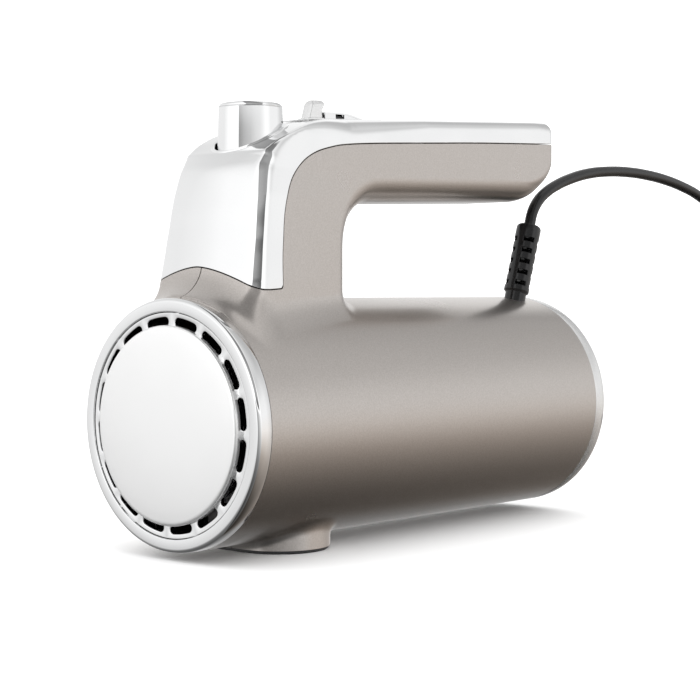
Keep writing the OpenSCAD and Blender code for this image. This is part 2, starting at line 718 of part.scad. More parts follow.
// Flat two-pin plug that lies beside the coil, with its pins pointing back along the mixer
plug_x = 78;
plug_y = 344;
plug_t = 13.7;
plug_half = 17.6;
pin_gap = 9.5;
tail_route = [
    [78, 379, 2.5], [78, 372, 2.9], [78, 365, 4.1], [78, 358, 5.7], [78, 352, 6.7], [78, 343, 6.85]];
module power_cord() {
    color(black) {
        tube_sweep(cord_route, cord_d / 2, 8);
        tube_sweep(tail_route, cord_d / 2, 8);
    }
}
coil_in = 17.5;
coil_out = 37.5;
module cord_coil() {
    color(black) translate([coil_centre[0], coil_centre[1], 0]) rotate_extrude()
        polygon([[coil_in, 0], [coil_out, 0], [coil_out, 2 * cord_d], [coil_in, 2 * cord_d]]);
}
module mains_plug() {
    color(black) translate([plug_x, plug_y, 0]) {
        linear_extrude(plug_t) polygon([
            [-plug_half, -36], [plug_half, -36], [plug_half, -29], [13, -20], [7.5, -8], [5, 0],
            [-5, 0], [-7.5, -8], [-13, -20], [-plug_half, -29]]);
        difference() {
            translate([0, 0, plug_t / 2]) rotate([-90, 0, 0]) cylinder(r1 = 4.8, r2 = 3.6, h = 12);
            translate([0, 4, plug_t / 2]) rotate([-90, 0, 0]) cylinder(r = cord_d / 2, h = 12);
        }
    }
    color(steel) for (s = [-1, 1])
        translate([plug_x + s * pin_gap, plug_y - 55, plug_t / 2]) rotate([-90, 0, 0])
            cylinder(r = 2, h = 19.2);
}

housing_left();
housing_right();
front_cover();
front_ring();
vent_grille();
front_disc();
rear_cap();
base_plate();
housing_screws();
eject_knob();
eject_fork();
eject_guide();
eject_spring();
control_bezel();
speed_slider();
speed_switch();
turbo_button();
turbo_core();
turbo_spring();
turbo_switch();
gearbox_frame();
front_bearing();
middle_bearing();
rear_bearing();
spindle_bushes();
spindle_left();
spindle_right();
gear_left();
gear_right();
worm_shaft();
cooling_fan();
armature_core();
armature_winding();
commutator();
stator_core();
field_coils();
motor_bracket();
motor_bolts();
brush_holders();
carbon_brushes();
control_board();
strain_relief();
power_cord();
cord_coil();
mains_plug();
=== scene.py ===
"""Looks of a corded hand mixer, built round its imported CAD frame.

Lengths inside the functions are millimetres in the frame's own axes: +X to the seen side, +Y rearward,
+Z up. Meshes are turned into metres where they are made.
"""

import json
import math

import bmesh
import bpy
import numpy as np
from mathutils import Matrix, Vector


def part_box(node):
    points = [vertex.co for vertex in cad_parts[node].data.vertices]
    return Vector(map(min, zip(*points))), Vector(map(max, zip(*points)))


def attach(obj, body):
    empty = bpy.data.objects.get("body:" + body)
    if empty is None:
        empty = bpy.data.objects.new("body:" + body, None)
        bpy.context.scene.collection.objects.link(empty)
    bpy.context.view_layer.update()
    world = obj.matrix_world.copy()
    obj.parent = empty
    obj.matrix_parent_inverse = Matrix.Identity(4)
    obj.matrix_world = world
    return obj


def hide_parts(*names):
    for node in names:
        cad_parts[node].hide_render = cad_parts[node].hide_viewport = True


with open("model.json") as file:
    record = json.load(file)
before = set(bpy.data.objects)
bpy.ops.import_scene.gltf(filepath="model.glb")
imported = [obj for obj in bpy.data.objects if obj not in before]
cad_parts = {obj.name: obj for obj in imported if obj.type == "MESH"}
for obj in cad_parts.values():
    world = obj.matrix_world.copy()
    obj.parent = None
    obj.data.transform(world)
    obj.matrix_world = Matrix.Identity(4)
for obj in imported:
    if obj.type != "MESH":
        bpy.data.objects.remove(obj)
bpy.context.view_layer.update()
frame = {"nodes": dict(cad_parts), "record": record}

MM = 0.001
HOUSING = "housing"


def box(node):
    """A CAD node's lowest and highest corners, in millimetres."""
    low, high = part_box(node)
    return np.array(low) / MM, np.array(high) / MM


# ---------------------------------------------------------------- driving dimensions
CAP_LOW, CAP_HIGH = box("rear_cap")
RING_LOW, RING_HIGH = box("front_ring")
PLATE_HIGH = box("base_plate")[1]
KNOB_LOW, KNOB_HIGH = box("eject_knob")
BODY_R = (CAP_HIGH[0] - CAP_LOW[0]) / 2
AXIS_Z = (CAP_HIGH[2] + CAP_LOW[2]) / 2
RING_R = (RING_HIGH[0] - RING_LOW[0]) / 2
BODY_FRONT = -43.7
BODY_REAR = 155.0
PLATE_T = PLATE_HIGH[2]
BOSS_HALF = PLATE_HIGH[0] + 0.5
BOSS_R = PLATE_HIGH[1] + 0.5
KNOB_Y = (KNOB_LOW[1] + KNOB_HIGH[1]) / 2
KNOB_R = (KNOB_HIGH[0] - KNOB_LOW[0]) / 2
KNOB_TOP = KNOB_HIGH[2]
HOLE_R = KNOB_R + 0.75
HOLE_Y = KNOB_Y - 0.3
# The handle: its half width, and its top line's slope and a point (y, z) on it.
GRIP_HALF = 20.0
GRIP_SLOPE = math.radians(3.667)
GRIP_REF = (20.0, 160.1)
SOCKET_X = 15.0
SHELL_T = 2.2
RIM_R = 0.15


# ---------------------------------------------------------------- camera
def make_camera():
    """The viewing angle: from the front right, a little above the motor axis."""
    data = bpy.data.cameras.new("camera")
    data.lens = 86.75
    data.sensor_width = 36
    camera = bpy.data.objects.new("camera", data)
    camera.location = (0.4392, -0.4534, 0.0951)
    camera.rotation_euler = (math.radians(90 - 1.97), 0, math.radians(41.26))
    bpy.context.scene.collection.objects.link(camera)
    bpy.context.scene.camera = camera


# ---------------------------------------------------------------- mesh helpers
def add(name, data, finish, *nodes, body=HOUSING, slot=None):
    """A new piece from mesh or curve data, riding on a body and standing for CAD nodes."""
    piece = bpy.data.objects.new(name, data)
    bpy.context.scene.collection.objects.link(piece)
    data.name = name
    data.materials.append(FINISHES[finish])
    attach(piece, body)
    if nodes:
        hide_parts(*nodes)
    return piece


def mesh_of(points, faces, sharp=35.0, merge=0.002):
    """A mesh in metres from points in millimetres, with doubled points merged and faces turned outward.

    It is shaded smooth, and sharp where faces meet at more than an angle.
    """
    mesh = bpy.data.meshes.new("mesh")
    mesh.from_pydata([tuple(p) for p in np.asarray(points, float) * MM], [], faces)
    mesh.validate()
    work = bmesh.new()
    work.from_mesh(mesh)
    bmesh.ops.remove_doubles(work, verts=work.verts, dist=merge * MM)
    bmesh.ops.recalc_face_normals(work, faces=work.faces)
    work.to_mesh(mesh)
    work.free()
    mesh.shade_smooth()
    mesh.set_sharp_from_angle(angle=math.radians(sharp))
    return mesh


def joined(parts):
    """One list of points and faces from several."""
    points, faces = [], []
    for p, f in parts:
        start = len(points)
        points += [tuple(q) for q in p]
        faces += [tuple(i + start for i in face) for face in f]
    return points, faces


def grid_faces(rows, columns, closed=False):
    """Quads between rows of points that each run round, the last row joined to the first if closed."""
    return [(k * columns + i, k * columns + (i + 1) % columns,
             (k + 1) % rows * columns + (i + 1) % columns, (k + 1) % rows * columns + i)
            for k in range(rows if closed else rows - 1) for i in range(columns)]


def arc(cx, cy, rx, ry, start, end, steps):
    """Points on an ellipse's arc, in degrees."""
    angles = np.radians(np.linspace(start, end, steps + 1))
    return [(cx + rx * math.cos(a), cy + ry * math.sin(a)) for a in angles]


def rounded(outline, radius, steps):
    """A closed outline with its corners rounded. radius is one number or one for each corner."""
    n = len(outline)
    radii = [radius] * n if np.isscalar(radius) else radius
    result = []
    for i, p in enumerate(outline):
        p = np.array(p, float)
        a = np.array(outline[i - 1], float) - p
        b = np.array(outline[(i + 1) % n], float) - p
        la, lb = np.linalg.norm(a), np.linalg.norm(b)
        a, b = a / la, b / lb
        half = math.acos(max(-1.0, min(1.0, float(a @ b)))) / 2
        cut = min(radii[i] / max(math.tan(half), 1e-6), la * 0.48, lb * 0.48)
        start, end = p + a * cut, p + b * cut
        for k in range(steps + 1):
            t = k / steps
            result.append(tuple((1 - t) ** 2 * start + 2 * t * (1 - t) * p + t * t * end))
    return result


def smooth_line(points, per_span):
    """A Catmull-Rom curve through points, with per_span steps between each two."""
    p = np.array(points, float)
    p = np.vstack([2 * p[0] - p[1], p, 2 * p[-1] - p[-2]])
    result = []
    for i in range(1, len(p) - 2):
        for k in range(per_span):
            t = k / per_span
            result.append(0.5 * (2 * p[i] + (p[i + 1] - p[i - 1]) * t
                                 + (2 * p[i - 1] - 5 * p[i] + 4 * p[i + 1] - p[i + 2]) * t * t
                                 + (3 * p[i] - p[i - 1] - 3 * p[i + 1] + p[i + 2]) * t ** 3))
    result.append(p[-2])
    return [tuple(q) for q in result]


def turned_mesh(outline, steps, place, sharp=35.0):
    """A closed outline of (radius, height) turned about Z and moved by place (millimetres)."""
    points, faces, n = [], [], len(outline)
    on_axis = [r < 1e-6 for r, _ in outline]
    for k in range(steps):
        a = 2 * math.pi * k / steps
        points += [tuple(place @ Vector((r * math.cos(a), r * math.sin(a), z))) for r, z in outline]
        m = (k + 1) % steps
        for i in range(n):
            j = (i + 1) % n
            quad = [k * n + i, m * n + i, m * n + j, k * n + j]
            if on_axis[i] and on_axis[j]:
                continue
            if on_axis[i]:
                quad.pop(1)
            elif on_axis[j]:
                quad.pop(2)
            faces.append(tuple(quad))
    return mesh_of(points, faces, sharp)


def prism(outline, depth_axis, low, high):
    """Points and faces of an outline carried from low to high along one axis."""
    n = len(outline)
    points = []
    for level in (low, high):
        for a, b in outline:
            p = [a, b]
            p.insert(depth_axis, level)
            points.append(tuple(p))
    return points, [tuple(range(n)), tuple(range(2 * n - 1, n - 1, -1)), *grid_faces(2, n)]


def bevelled(piece, width, segments, angle=30.0):
    """Rounds a piece's edges with a modifier."""
    bevel = piece.modifiers.new("edges", "BEVEL")
    bevel.width = width * MM
    bevel.segments = segments
    bevel.limit_method = "ANGLE"
    bevel.angle_limit = math.radians(angle)
    bevel.harden_normals = True


ALONG_Y = Matrix.Translation((0, 0, AXIS_Z)) @ Matrix.Rotation(math.radians(-90), 4, "X")
GRIP = Matrix.Translation((0, *GRIP_REF)) @ Matrix.Rotation(GRIP_SLOPE, 4, "X")


# ---------------------------------------------------------------- materials
PAINT_LOW, PAINT_HIGH = (0.51, 0.476, 0.447), (0.585, 0.548, 0.522)
GRAIN_TURN = (0.5, 0.3, 0.8)


def new_node(tree, kind, **values):
    """A shader node with some of its sockets set."""
    node = tree.nodes.new("ShaderNode" + kind)
    for socket, value in values.items():
        node.inputs[socket].default_value = value
    return node


def new_material(name, color, metallic=0.0, roughness=0.4, coat=0.0, coat_roughness=0.1, specular=0.5):
    """A node material with its shader, and the node tree to add to."""
    material = bpy.data.materials.new(name)
    material.use_nodes = True
    tree = material.node_tree
    shader = tree.nodes["Principled BSDF"]
    for socket, value in (("Base Color", (*color, 1)), ("Metallic", metallic), ("Roughness", roughness),
                          ("Coat Weight", coat), ("Coat Roughness", coat_roughness),
                          ("Specular IOR Level", specular)):
        shader.inputs[socket].default_value = value
    return material, tree, shader


def noise(tree, scale, detail=3.0, stretch=(1, 1, 1)):
    """Noise over the object's own coordinates. scale is cells per metre."""
    place = new_node(tree, "TexCoord")
    mapping = new_node(tree, "Mapping", Scale=stretch, Rotation=GRAIN_TURN)
    texture = new_node(tree, "TexNoise", Scale=scale, Detail=detail)
    tree.links.new(place.outputs["Object"], mapping.inputs["Vector"])
    tree.links.new(mapping.outputs["Vector"], texture.inputs["Vector"])
    return texture.outputs["Fac"]


def ramp(tree, factor, low, high, start=0.3, end=0.7):
    """Factor from start to end turned into a colour or grey between low and high."""
    node = new_node(tree, "ValToRGB")
    for stop, position, value in zip(node.color_ramp.elements, (start, end), (low, high)):
        stop.position = position
        stop.color = (value, value, value, 1) if np.isscalar(value) else (*value, 1)
    tree.links.new(factor, node.inputs["Fac"])
    return node.outputs["Color"]


def wander(tree, shader, socket, low, high, scale, detail=2.0):
    """Lets a socket's value wander between two values."""
    tree.links.new(ramp(tree, noise(tree, scale, detail), low, high), shader.inputs[socket])


def add_bump(tree, shader, height, strength, distance):
    """A bump of the given height, in metres, on the shader's normal."""
    node = new_node(tree, "Bump", Strength=strength, Distance=distance)
    tree.links.new(height, node.inputs["Height"])
    tree.links.new(node.outputs["Normal"], shader.inputs["Normal"])


def varied(name, low, high, scale, rough, bump, bump_scale, metallic=0.0, stretch=(1, 1, 1), coat=0.0):
    """A material whose colour and roughness wander together, with a fine bump."""
    material, tree, shader = new_material(name, low, metallic, rough[0], coat)
    factor = noise(tree, scale, stretch=stretch)
    tree.links.new(ramp(tree, factor, low, high), shader.inputs["Base Color"])
    tree.links.new(ramp(tree, factor, *rough), shader.inputs["Roughness"])
    add_bump(tree, shader, noise(tree, bump_scale, 2.0, stretch), bump, 0.00005)
    return material


def paint_material():
    """Satin metallic paint: a warm grey base with fine bright flakes under a thin clear coat."""
    material, tree, shader = new_material("taupe_paint", PAINT_LOW, metallic=0.97, roughness=0.27,
                                          coat=0.2, coat_roughness=0.12)
    tint = ramp(tree, noise(tree, 1900, 2.0), PAINT_LOW, PAINT_HIGH, 0.35, 0.68)
    tree.links.new(tint, shader.inputs["Base Color"])
    wander(tree, shader, "Roughness", 0.27, 0.3, 14)
    add_bump(tree, shader, noise(tree, 1200, 2.0), 0.02, 0.00002)
    return material


def chrome_material():
    """Polished chrome plating with the faint waviness of a plated moulding."""
    low, high = (0.91, 0.914, 0.918), (0.95, 0.953, 0.956)
    material, tree, shader = new_material("chrome_trim", low, metallic=1.0, roughness=0.05)
    wander(tree, shader, "Base Color", low, high, 30)
    wander(tree, shader, "Roughness", 0.035, 0.075, 60, 3.0)
    add_bump(tree, shader, noise(tree, 45, 1.0), 0.02, 0.0002)
    return material


def satin_material(name, low, high):
    """Fine satin silver of a given brightness."""
    material, tree, shader = new_material(name, (low,) * 3, metallic=0.85, roughness=0.2,
                                          coat=0.2, coat_roughness=0.12)
    wander(tree, shader, "Base Color", low, high, 25)
    wander(tree, shader, "Roughness", 0.2, 0.24, 40)
    return material


# The speed tab's satin is a darker copy of the plain satin: painted shade for the grey that its bright faces
# show.
SATINS = {"satin_metal": (0.93, 0.96), "cap_satin": (0.7, 0.74), "tab_shaded_satin": (0.78, 0.82)}
PLAIN_FINISHES = {
    "black_plastic": dict(low=(0.016, 0.016, 0.017), high=(0.03, 0.03, 0.032), scale=60,
                          rough=(0.42, 0.55), bump=0.25, bump_scale=1800),
    "black_rubber": dict(low=(0.003, 0.003, 0.0033), high=(0.007, 0.007, 0.0075), scale=80,
                         rough=(0.16, 0.26), bump=0.05, bump_scale=900),
    "steel": dict(low=(0.52, 0.53, 0.55), high=(0.64, 0.65, 0.67), scale=220, rough=(0.22, 0.36),
                  metallic=1.0, stretch=(1, 0.15, 1), bump=0.1, bump_scale=900),
    "aluminium": dict(low=(0.60, 0.60, 0.61), high=(0.70, 0.70, 0.71), scale=120, rough=(0.40, 0.55),
                      metallic=1.0, bump=0.3, bump_scale=1200),
    "brass": dict(low=(0.66, 0.50, 0.24), high=(0.78, 0.62, 0.32), scale=150, rough=(0.24, 0.38),
                  metallic=1.0, bump=0.08, bump_scale=1000),
    "copper": dict(low=(0.55, 0.24, 0.11), high=(0.72, 0.36, 0.18), scale=400, rough=(0.3, 0.45),
                   metallic=0.9, stretch=(1, 6, 1), bump=0.4, bump_scale=1400, coat=0.4),
    "circuit_board": dict(low=(0.02, 0.14, 0.07), high=(0.03, 0.22, 0.11), scale=200, rough=(0.3, 0.42),
                          bump=0.1, bump_scale=600, coat=0.3),
}
FINISHES = {"taupe_paint": paint_material(), "chrome_trim": chrome_material(),
            **{name: satin_material(name, *shades) for name, shades in SATINS.items()},
            **{name: varied(name, **values) for name, values in PLAIN_FINISHES.items()}}


# ---------------------------------------------------------------- housing form
def outline_field(outline, y, z):
    """Signed distance from points to a closed outline, negative inside."""
    points = np.array(outline, float)
    best = np.full(y.shape, 1e9)
    inside = np.zeros(y.shape, bool)
    for (ay, az), (by, bz) in zip(points, np.roll(points, -1, axis=0)):
        ey, ez = by - ay, bz - az
        length = ey * ey + ez * ez
        if length < 1e-12:
            continue
        t = np.clip(((y - ay) * ey + (z - az) * ez) / length, 0, 1)
        best = np.minimum(best, (y - ay - t * ey) ** 2 + (z - az - t * ez) ** 2)
        if az != bz:
            crosses = (az > z) != (bz > z)
            inside ^= crosses & (y < ay + ey * (z - az) / ez)
    return np.where(inside, -1, 1) * np.sqrt(best)


class SideMap:
    """A field over the side view, kept on a fine grid and read between its points."""

    step = 0.5
    low = np.array([-62.0, 50.0])
    count = (482, 264)

    def __init__(self, outline, blur):
        y = self.low[0] + self.step * np.arange(self.count[0])[:, None]
        z = self.low[1] + self.step * np.arange(self.count[1])[None, :]
        y, z = np.broadcast_arrays(y, z)
        values = outline_field(outline, y, z)
        if blur:
            reach = int(3 * blur / self.step)
            kernel = np.exp(-0.5 * (np.arange(-reach, reach + 1) * self.step / blur) ** 2)
            kernel /= kernel.sum()
            for axis in (0, 1):
                pad = [(reach, reach) if a == axis else (0, 0) for a in (0, 1)]
                wide = np.pad(values, pad, mode="edge")
                values = sum(k * np.take(wide, np.arange(self.count[axis]) + i, axis)
                             for i, k in enumerate(kernel))
        self.values = values

    def __call__(self, y, z):
        y, z = np.broadcast_arrays(y, z)
        a = np.clip((y - self.low[0]) / self.step, 0, self.count[0] - 1.001)
        b = np.clip((z - self.low[1]) / self.step, 0, self.count[1] - 1.001)
        i, j = a.astype(int), b.astype(int)
        s, t = a - i, b - j
        v = self.values
        return ((1 - s) * ((1 - t) * v[i, j] + t * v[i, j + 1])
                + s * ((1 - t) * v[i + 1, j] + t * v[i + 1, j + 1]))


def top_line(y):
    """Height of the handle's top line."""
    return GRIP_REF[1] + (y - GRIP_REF[0]) * math.tan(GRIP_SLOPE)


NECK_REAR = 25.4
CORNER_R = 17.5
GRIP_REAR = 161.0
NECK_FRONT = [(-36.0, 90), (-34.4, 99.4), (-32.7, 109), (-31.2, 118), (-29.8, 127), (-27.3, 138.4),
              (-24.8, 143.2)]
CROWN = [(-23.2, 145.4), (-17, 148.9), (-11, 151.8), (-6, 154.0), (0, 156.2), (6, 157.9), (13, 159.2),
         (20, 159.9)]
END_CENTRE = (134.0, 151.5)
END_REACH, END_DROP = 27.0, 18.0
UNDER_START = (46.0, 129.8)


def side_outline():
    """Side view of the neck and the handle together, as (y, z)."""
    rear_top = top_line(GRIP_REAR)
    return ([(-36.4, 60), *smooth_line(NECK_FRONT, 6), *smooth_line(CROWN, 6)]
            + [(GRIP_REAR - 20, top_line(GRIP_REAR - 20))]
            + arc(GRIP_REAR - 5, rear_top - 5.3, 5, 5, 86, 0, 14)
            + arc(*END_CENTRE, END_REACH, END_DROP, 0, -90, 40)
            + [UNDER_START]
            + arc(NECK_REAR + CORNER_R, 112, CORNER_R, CORNER_R, 98, 180, 36)
            + [(NECK_REAR, 60)])


def round_union(a, b, radius):
    """Union of two fields with a round fillet."""
    return (np.maximum(radius, np.minimum(a, b))
            - np.hypot(np.maximum(radius - a, 0), np.maximum(radius - b, 0)))


def round_overlap(a, b, radius):
    """Overlap of two fields with a round edge."""
    return (np.minimum(-radius, np.maximum(a, b))
            + np.hypot(np.maximum(radius + a, 0), np.maximum(radius + b, 0)))


NECK_LEVELS = [60, 90, 99.5, 109, 118, 130, 139.5, 146, 153, 160]
NECK_FRONT_HALF = [27.6, 27.4, 26.9, 26.1, 25.5, 24.8, 23.5, 23.2, 22.9, 21.4]
NECK_TAPER = 55.0
NECK_BOW = 2.8
BOW_FADE = (8.0, 28.0)
FOOT_EDGE_R, NECK_EDGE_R, CROWN_EDGE_R = 6.2, 5.0, 1.6
GRIP_NECK_R, GRIP_TOP_R, GRIP_LOW_R = 7.0, 4.0, 9.5
NECK_EDGE_LEVELS, GRIP_EDGE_SPANS = [98, 114, 141, 152], [30, 72, 148, 172]
SIDE_FILLET_R, FRONT_FILLET_R = 6.0, 11.0
BOSS_FILLET_R = 3.0


def neck_width(y, z):
    """Half width of the neck, which widens forward and downward, and of the handle."""
    front = np.interp(z, NECK_LEVELS, NECK_FRONT_HALF)
    return GRIP_HALF + (front - GRIP_HALF) * np.clip((NECK_REAR - y) / NECK_TAPER, 0, 1.1)


def edge_radius(y, z):
    """Radius of the long edges: crisp on the crown, soft on the handle and at the foot."""
    front = np.interp(z, NECK_EDGE_LEVELS, [FOOT_EDGE_R, NECK_EDGE_R, NECK_EDGE_R, CROWN_EDGE_R])
    top = np.interp(y, GRIP_EDGE_SPANS, [GRIP_NECK_R, GRIP_TOP_R, GRIP_TOP_R, GRIP_NECK_R])
    grip = GRIP_LOW_R + (top - GRIP_LOW_R) * np.clip((z - 141) / 10, 0, 1)
    return front + (grip - front) * np.clip((y + 2) / 28, 0, 1)


def make_housing_field():
    """Signed distance to the outer form of the body, the neck, the handle and the boss."""
    side = SideMap(side_outline(), 0.6)

    def field(x, y, z):
        body = np.hypot(x, z - AXIS_Z) - BODY_R
        wide = neck_width(y, z)
        fade = np.clip((BOW_FADE[0] - y) / BOW_FADE[1], 0, 1) * np.clip((150 - z) / 6, 0, 1)
        bow = NECK_BOW * np.minimum((x / wide) ** 2, 1.6) * fade
        neck = round_overlap(side(y - bow, z), np.abs(x) - wide, edge_radius(y, z))
        flat = BOSS_HALF - BOSS_R
        boss = np.hypot(np.maximum(np.abs(x) - flat, 0), y) - BOSS_R
        boss = np.maximum(boss, z - AXIS_Z)
        forward = np.clip((-21 - y) / 16, 0, 1)
        fillet = SIDE_FILLET_R + (FRONT_FILLET_R - SIDE_FILLET_R) * forward ** 2 * (3 - 2 * forward)
        return round_union(round_union(body, neck, fillet), boss, BOSS_FILLET_R)

    return field


def slope(field, p):
    """The field's gradient at points."""
    step = 0.35
    result = np.empty_like(p)
    for axis in range(3):
        ahead, behind = p.copy(), p.copy()
        ahead[:, axis] += step
        behind[:, axis] -= step
        result[:, axis] = (field(*ahead.T) - field(*behind.T)) / (2 * step)
    return result


def onto(field, p, rounds):
    """Points moved onto the surface along the gradient."""
    for _ in range(rounds):
        g = slope(field, p)
        p = p - g * (field(*p.T) / np.maximum((g * g).sum(1), 0.05))[:, None]
    return p


def surface_net(field, low, high, step):
    """Quads over the surface where field is zero, one point for each grid cell that it crosses."""
    axes = [np.arange(a, b + step, step) for a, b in zip(low, high)]
    x, y, z = axes[0][:, None, None], axes[1][None, :, None], axes[2][None, None, :]
    inside = field(x, y, z) < 0
    cells = [n - 1 for n in inside.shape]
    total = np.zeros(cells, np.int8)
    for i, j, k in np.ndindex(2, 2, 2):
        total += inside[i:cells[0] + i, j:cells[1] + j, k:cells[2] + k]
    active = (total > 0) & (total < 8)
    number = np.full(cells, -1, int)
    number[active] = np.arange(active.sum())
    where = np.argwhere(active)
    points = np.array(low) + (where + 0.5) * step
    quads = []
    for axis in range(3):
        b, c = (axis + 1) % 3, (axis + 2) % 3
        first = np.take(inside, range(cells[axis]), axis)
        second = np.take(inside, range(1, cells[axis] + 1), axis)
        crossing = np.argwhere(first != second)
        across = crossing[:, [b, c]]
        crossing = crossing[((across > 0) & (across < [cells[b], cells[c]])).all(1)]
        out = first[tuple(crossing.T)]
        ring = []
        for db, dc in ((1, 1), (0, 1), (0, 0), (1, 0)):
            cell = crossing.copy()
            cell[:, [b, c]] -= (db, dc)
            ring.append(number[tuple(cell.T)])
        ring = np.stack(ring, 1)
        ring[~out] = ring[~out][:, ::-1]
        quads.append(ring)
    return points, np.concatenate(quads)


def relaxed(field, points, quads, rounds):
    """Points spread evenly over the surface."""
    a = quads.ravel()
    b = np.roll(quads, -1, axis=1).ravel()
    n = len(points)
    count = np.bincount(a, minlength=n) + np.bincount(b, minlength=n)
    for _ in range(rounds):
        near = np.stack([np.bincount(a, points[b, k], n) + np.bincount(b, points[a, k], n)
                         for k in range(3)], 1) / np.maximum(count, 1)[:, None]
        points = onto(field, 0.4 * points + 0.6 * near, 1)
    return onto(field, points, 2)


def split_quads(points, quads):
    """Two triangles for each quad, along the diagonal that folds them less."""
    pairs = [np.stack([quads[:, [0, 1, 2]], quads[:, [0, 2, 3]]], 1),
             np.stack([quads[:, [1, 2, 3]], quads[:, [1, 3, 0]]], 1)]
    flatness = []
    for pair in pairs:
        p = points[pair]
        n = np.cross(p[:, :, 1] - p[:, :, 0], p[:, :, 2] - p[:, :, 0])
        n /= np.maximum(np.linalg.norm(n, axis=2, keepdims=True), 1e-9)
        flatness.append((n[:, 0] * n[:, 1]).sum(1))
    better = flatness[1] > flatness[0] + 0.0001
    return np.where(better[:, None, None], pairs[1], pairs[0]).reshape(-1, 3)


def clipped(points, triangles, value):
    """The part of a triangle mesh where value (one for each point) is positive."""
    value = np.where(np.abs(value) < 0.03, 0.03, value)
    keep = value > 0
    kept_corners = keep[triangles].sum(1)
    whole = triangles[kept_corners == 3]
    mixed = triangles[(kept_corners == 1) | (kept_corners == 2)]
    single = kept_corners[(kept_corners == 1) | (kept_corners == 2)] == 1
    odd = keep[mixed] == single[:, None]
    turn = odd.argmax(1)
    mixed = np.stack([mixed[np.arange(len(mixed)), (turn + k) % 3] for k in range(3)], 1)
    edges = np.sort(np.concatenate([mixed[:, [0, 1]], mixed[:, [0, 2]]]), axis=1)
    edges, back = np.unique(edges, axis=0, return_inverse=True)
    back = back.ravel()
    va, vb = value[edges[:, 0]], value[edges[:, 1]]
    t = (va / (va - vb))[:, None]
    new_points = points[edges[:, 0]] * (1 - t) + points[edges[:, 1]] * t
    n, m = len(points), len(mixed)
    ab, ac = n + back[:m], n + back[m:]
    one = np.stack([mixed[:, 0], ab, ac], 1)[single]
    two = np.concatenate([np.stack([ab, mixed[:, 1], mixed[:, 2]], 1)[~single],
                          np.stack([ab, mixed[:, 2], ac], 1)[~single]])
    faces = np.concatenate([whole, one, two])
    all_points = np.concatenate([points, new_points])
    used, faces = np.unique(faces, return_inverse=True)
    return all_points[used], faces.reshape(-1, 3)


def as_shell(field, points, triangles):
    """A closed mesh from a sheet: the sheet, a rounded rim and an inner side, with exact normals outside."""
    normals = slope(field, points)
    normals /= np.linalg.norm(normals, axis=1)[:, None]
    n = len(points)
    edges = np.concatenate([triangles[:, [0, 1]], triangles[:, [1, 2]], triangles[:, [2, 0]]])
    keys = np.sort(edges, axis=1) @ np.array([n, 1])
    values, index, count = np.unique(keys, return_index=True, return_counts=True)
    rim = edges[index[count == 1]]
    order, rim_index = np.unique(rim, return_inverse=True)
    rim_index = rim_index.reshape(-1, 2)
    along = points[rim[:, 1]] - points[rim[:, 0]]
    away = np.zeros((n, 3))
    for end in (0, 1):
        side = np.cross(along, normals[rim[:, end]])
        np.add.at(away, rim[:, end], side)
    away = away[order]
    away /= np.maximum(np.linalg.norm(away, axis=1), 1e-9)[:, None]
    edge_points, edge_normals = points[order], normals[order]
    rings = [edge_points + RIM_R * (away * math.sin(a) - edge_normals * (1 - math.cos(a)))
             for a in np.radians([45, 90])]
    inner = points - SHELL_T * normals
    start = [n, n + len(order), n + 2 * len(order)]
    strips = []
    for ring in range(3):
        lower = rim if ring == 0 else rim_index + start[ring - 1]
        upper = rim_index + start[ring] if ring < 2 else rim + start[2]
        strips.append(np.stack([lower[:, 1], lower[:, 0], upper[:, 0], upper[:, 1]], 1))
    all_points = np.concatenate([points, *rings, inner])
    faces = [*triangles.tolist(), *np.concatenate(strips).tolist(), *(triangles[:, ::-1] + start[2]).tolist()]
    mesh = bpy.data.meshes.new("mesh")
    mesh.from_pydata((all_points * MM).tolist(), [], faces)
    mesh.shade_smooth()
    mesh.set_sharp_from_angle(angle=math.radians(50))
    loops = np.zeros(len(mesh.loops), int)
    mesh.loops.foreach_get("vertex_index", loops)
    exact = np.zeros((len(loops), 3))
    outer = 3 * len(triangles)
    exact[:outer] = normals[loops[:outer]]
    mesh.normals_split_custom_set([tuple(v) for v in exact])
    return mesh


COVER_SEAM = [(150, 158.8), (107, 156.4), (74, 154.2), (40, 151.9), (21.4, 150.2), (12.5, 148.6),
              (5, 146.6), (-1.5, 143.6), (-6.4, 139.8), (-10.3, 135.4), (-13.1, 129.8), (-15.2, 122.6),
              (-16.4, 113.7), (-17.3, 106), (-17.7, 97), (-18, 80)]
COVER_FOOT, COVER_WAVE = 95.9, 8.2
WAVE_HALF, WAVE_X, WAVE_POWER = 29.0, -2.5, 1.6


def foot_line(x):
    """Height of the cover's lower edge: a low wave with its crest a little off the middle."""
    return COVER_FOOT + COVER_WAVE * np.maximum(1 - (np.abs(x - WAVE_X) / WAVE_HALF) ** WAVE_POWER, 0)


def make_cover_field():
    """Positive where the bright cover lies: over the side line and above the waved foot."""
    line = smooth_line([(166, 159.7), *COVER_SEAM], 5)
    side = SideMap([*line, (-60, 80), (-60, 180), (178, 180), (178, 160.4)], 0.0)

    def field(x, y, z):
        over = round_overlap(side(y, z), foot_line(x) - z, 1.0)
        return np.where(y < 0, -over, -side(y, z))

    return field


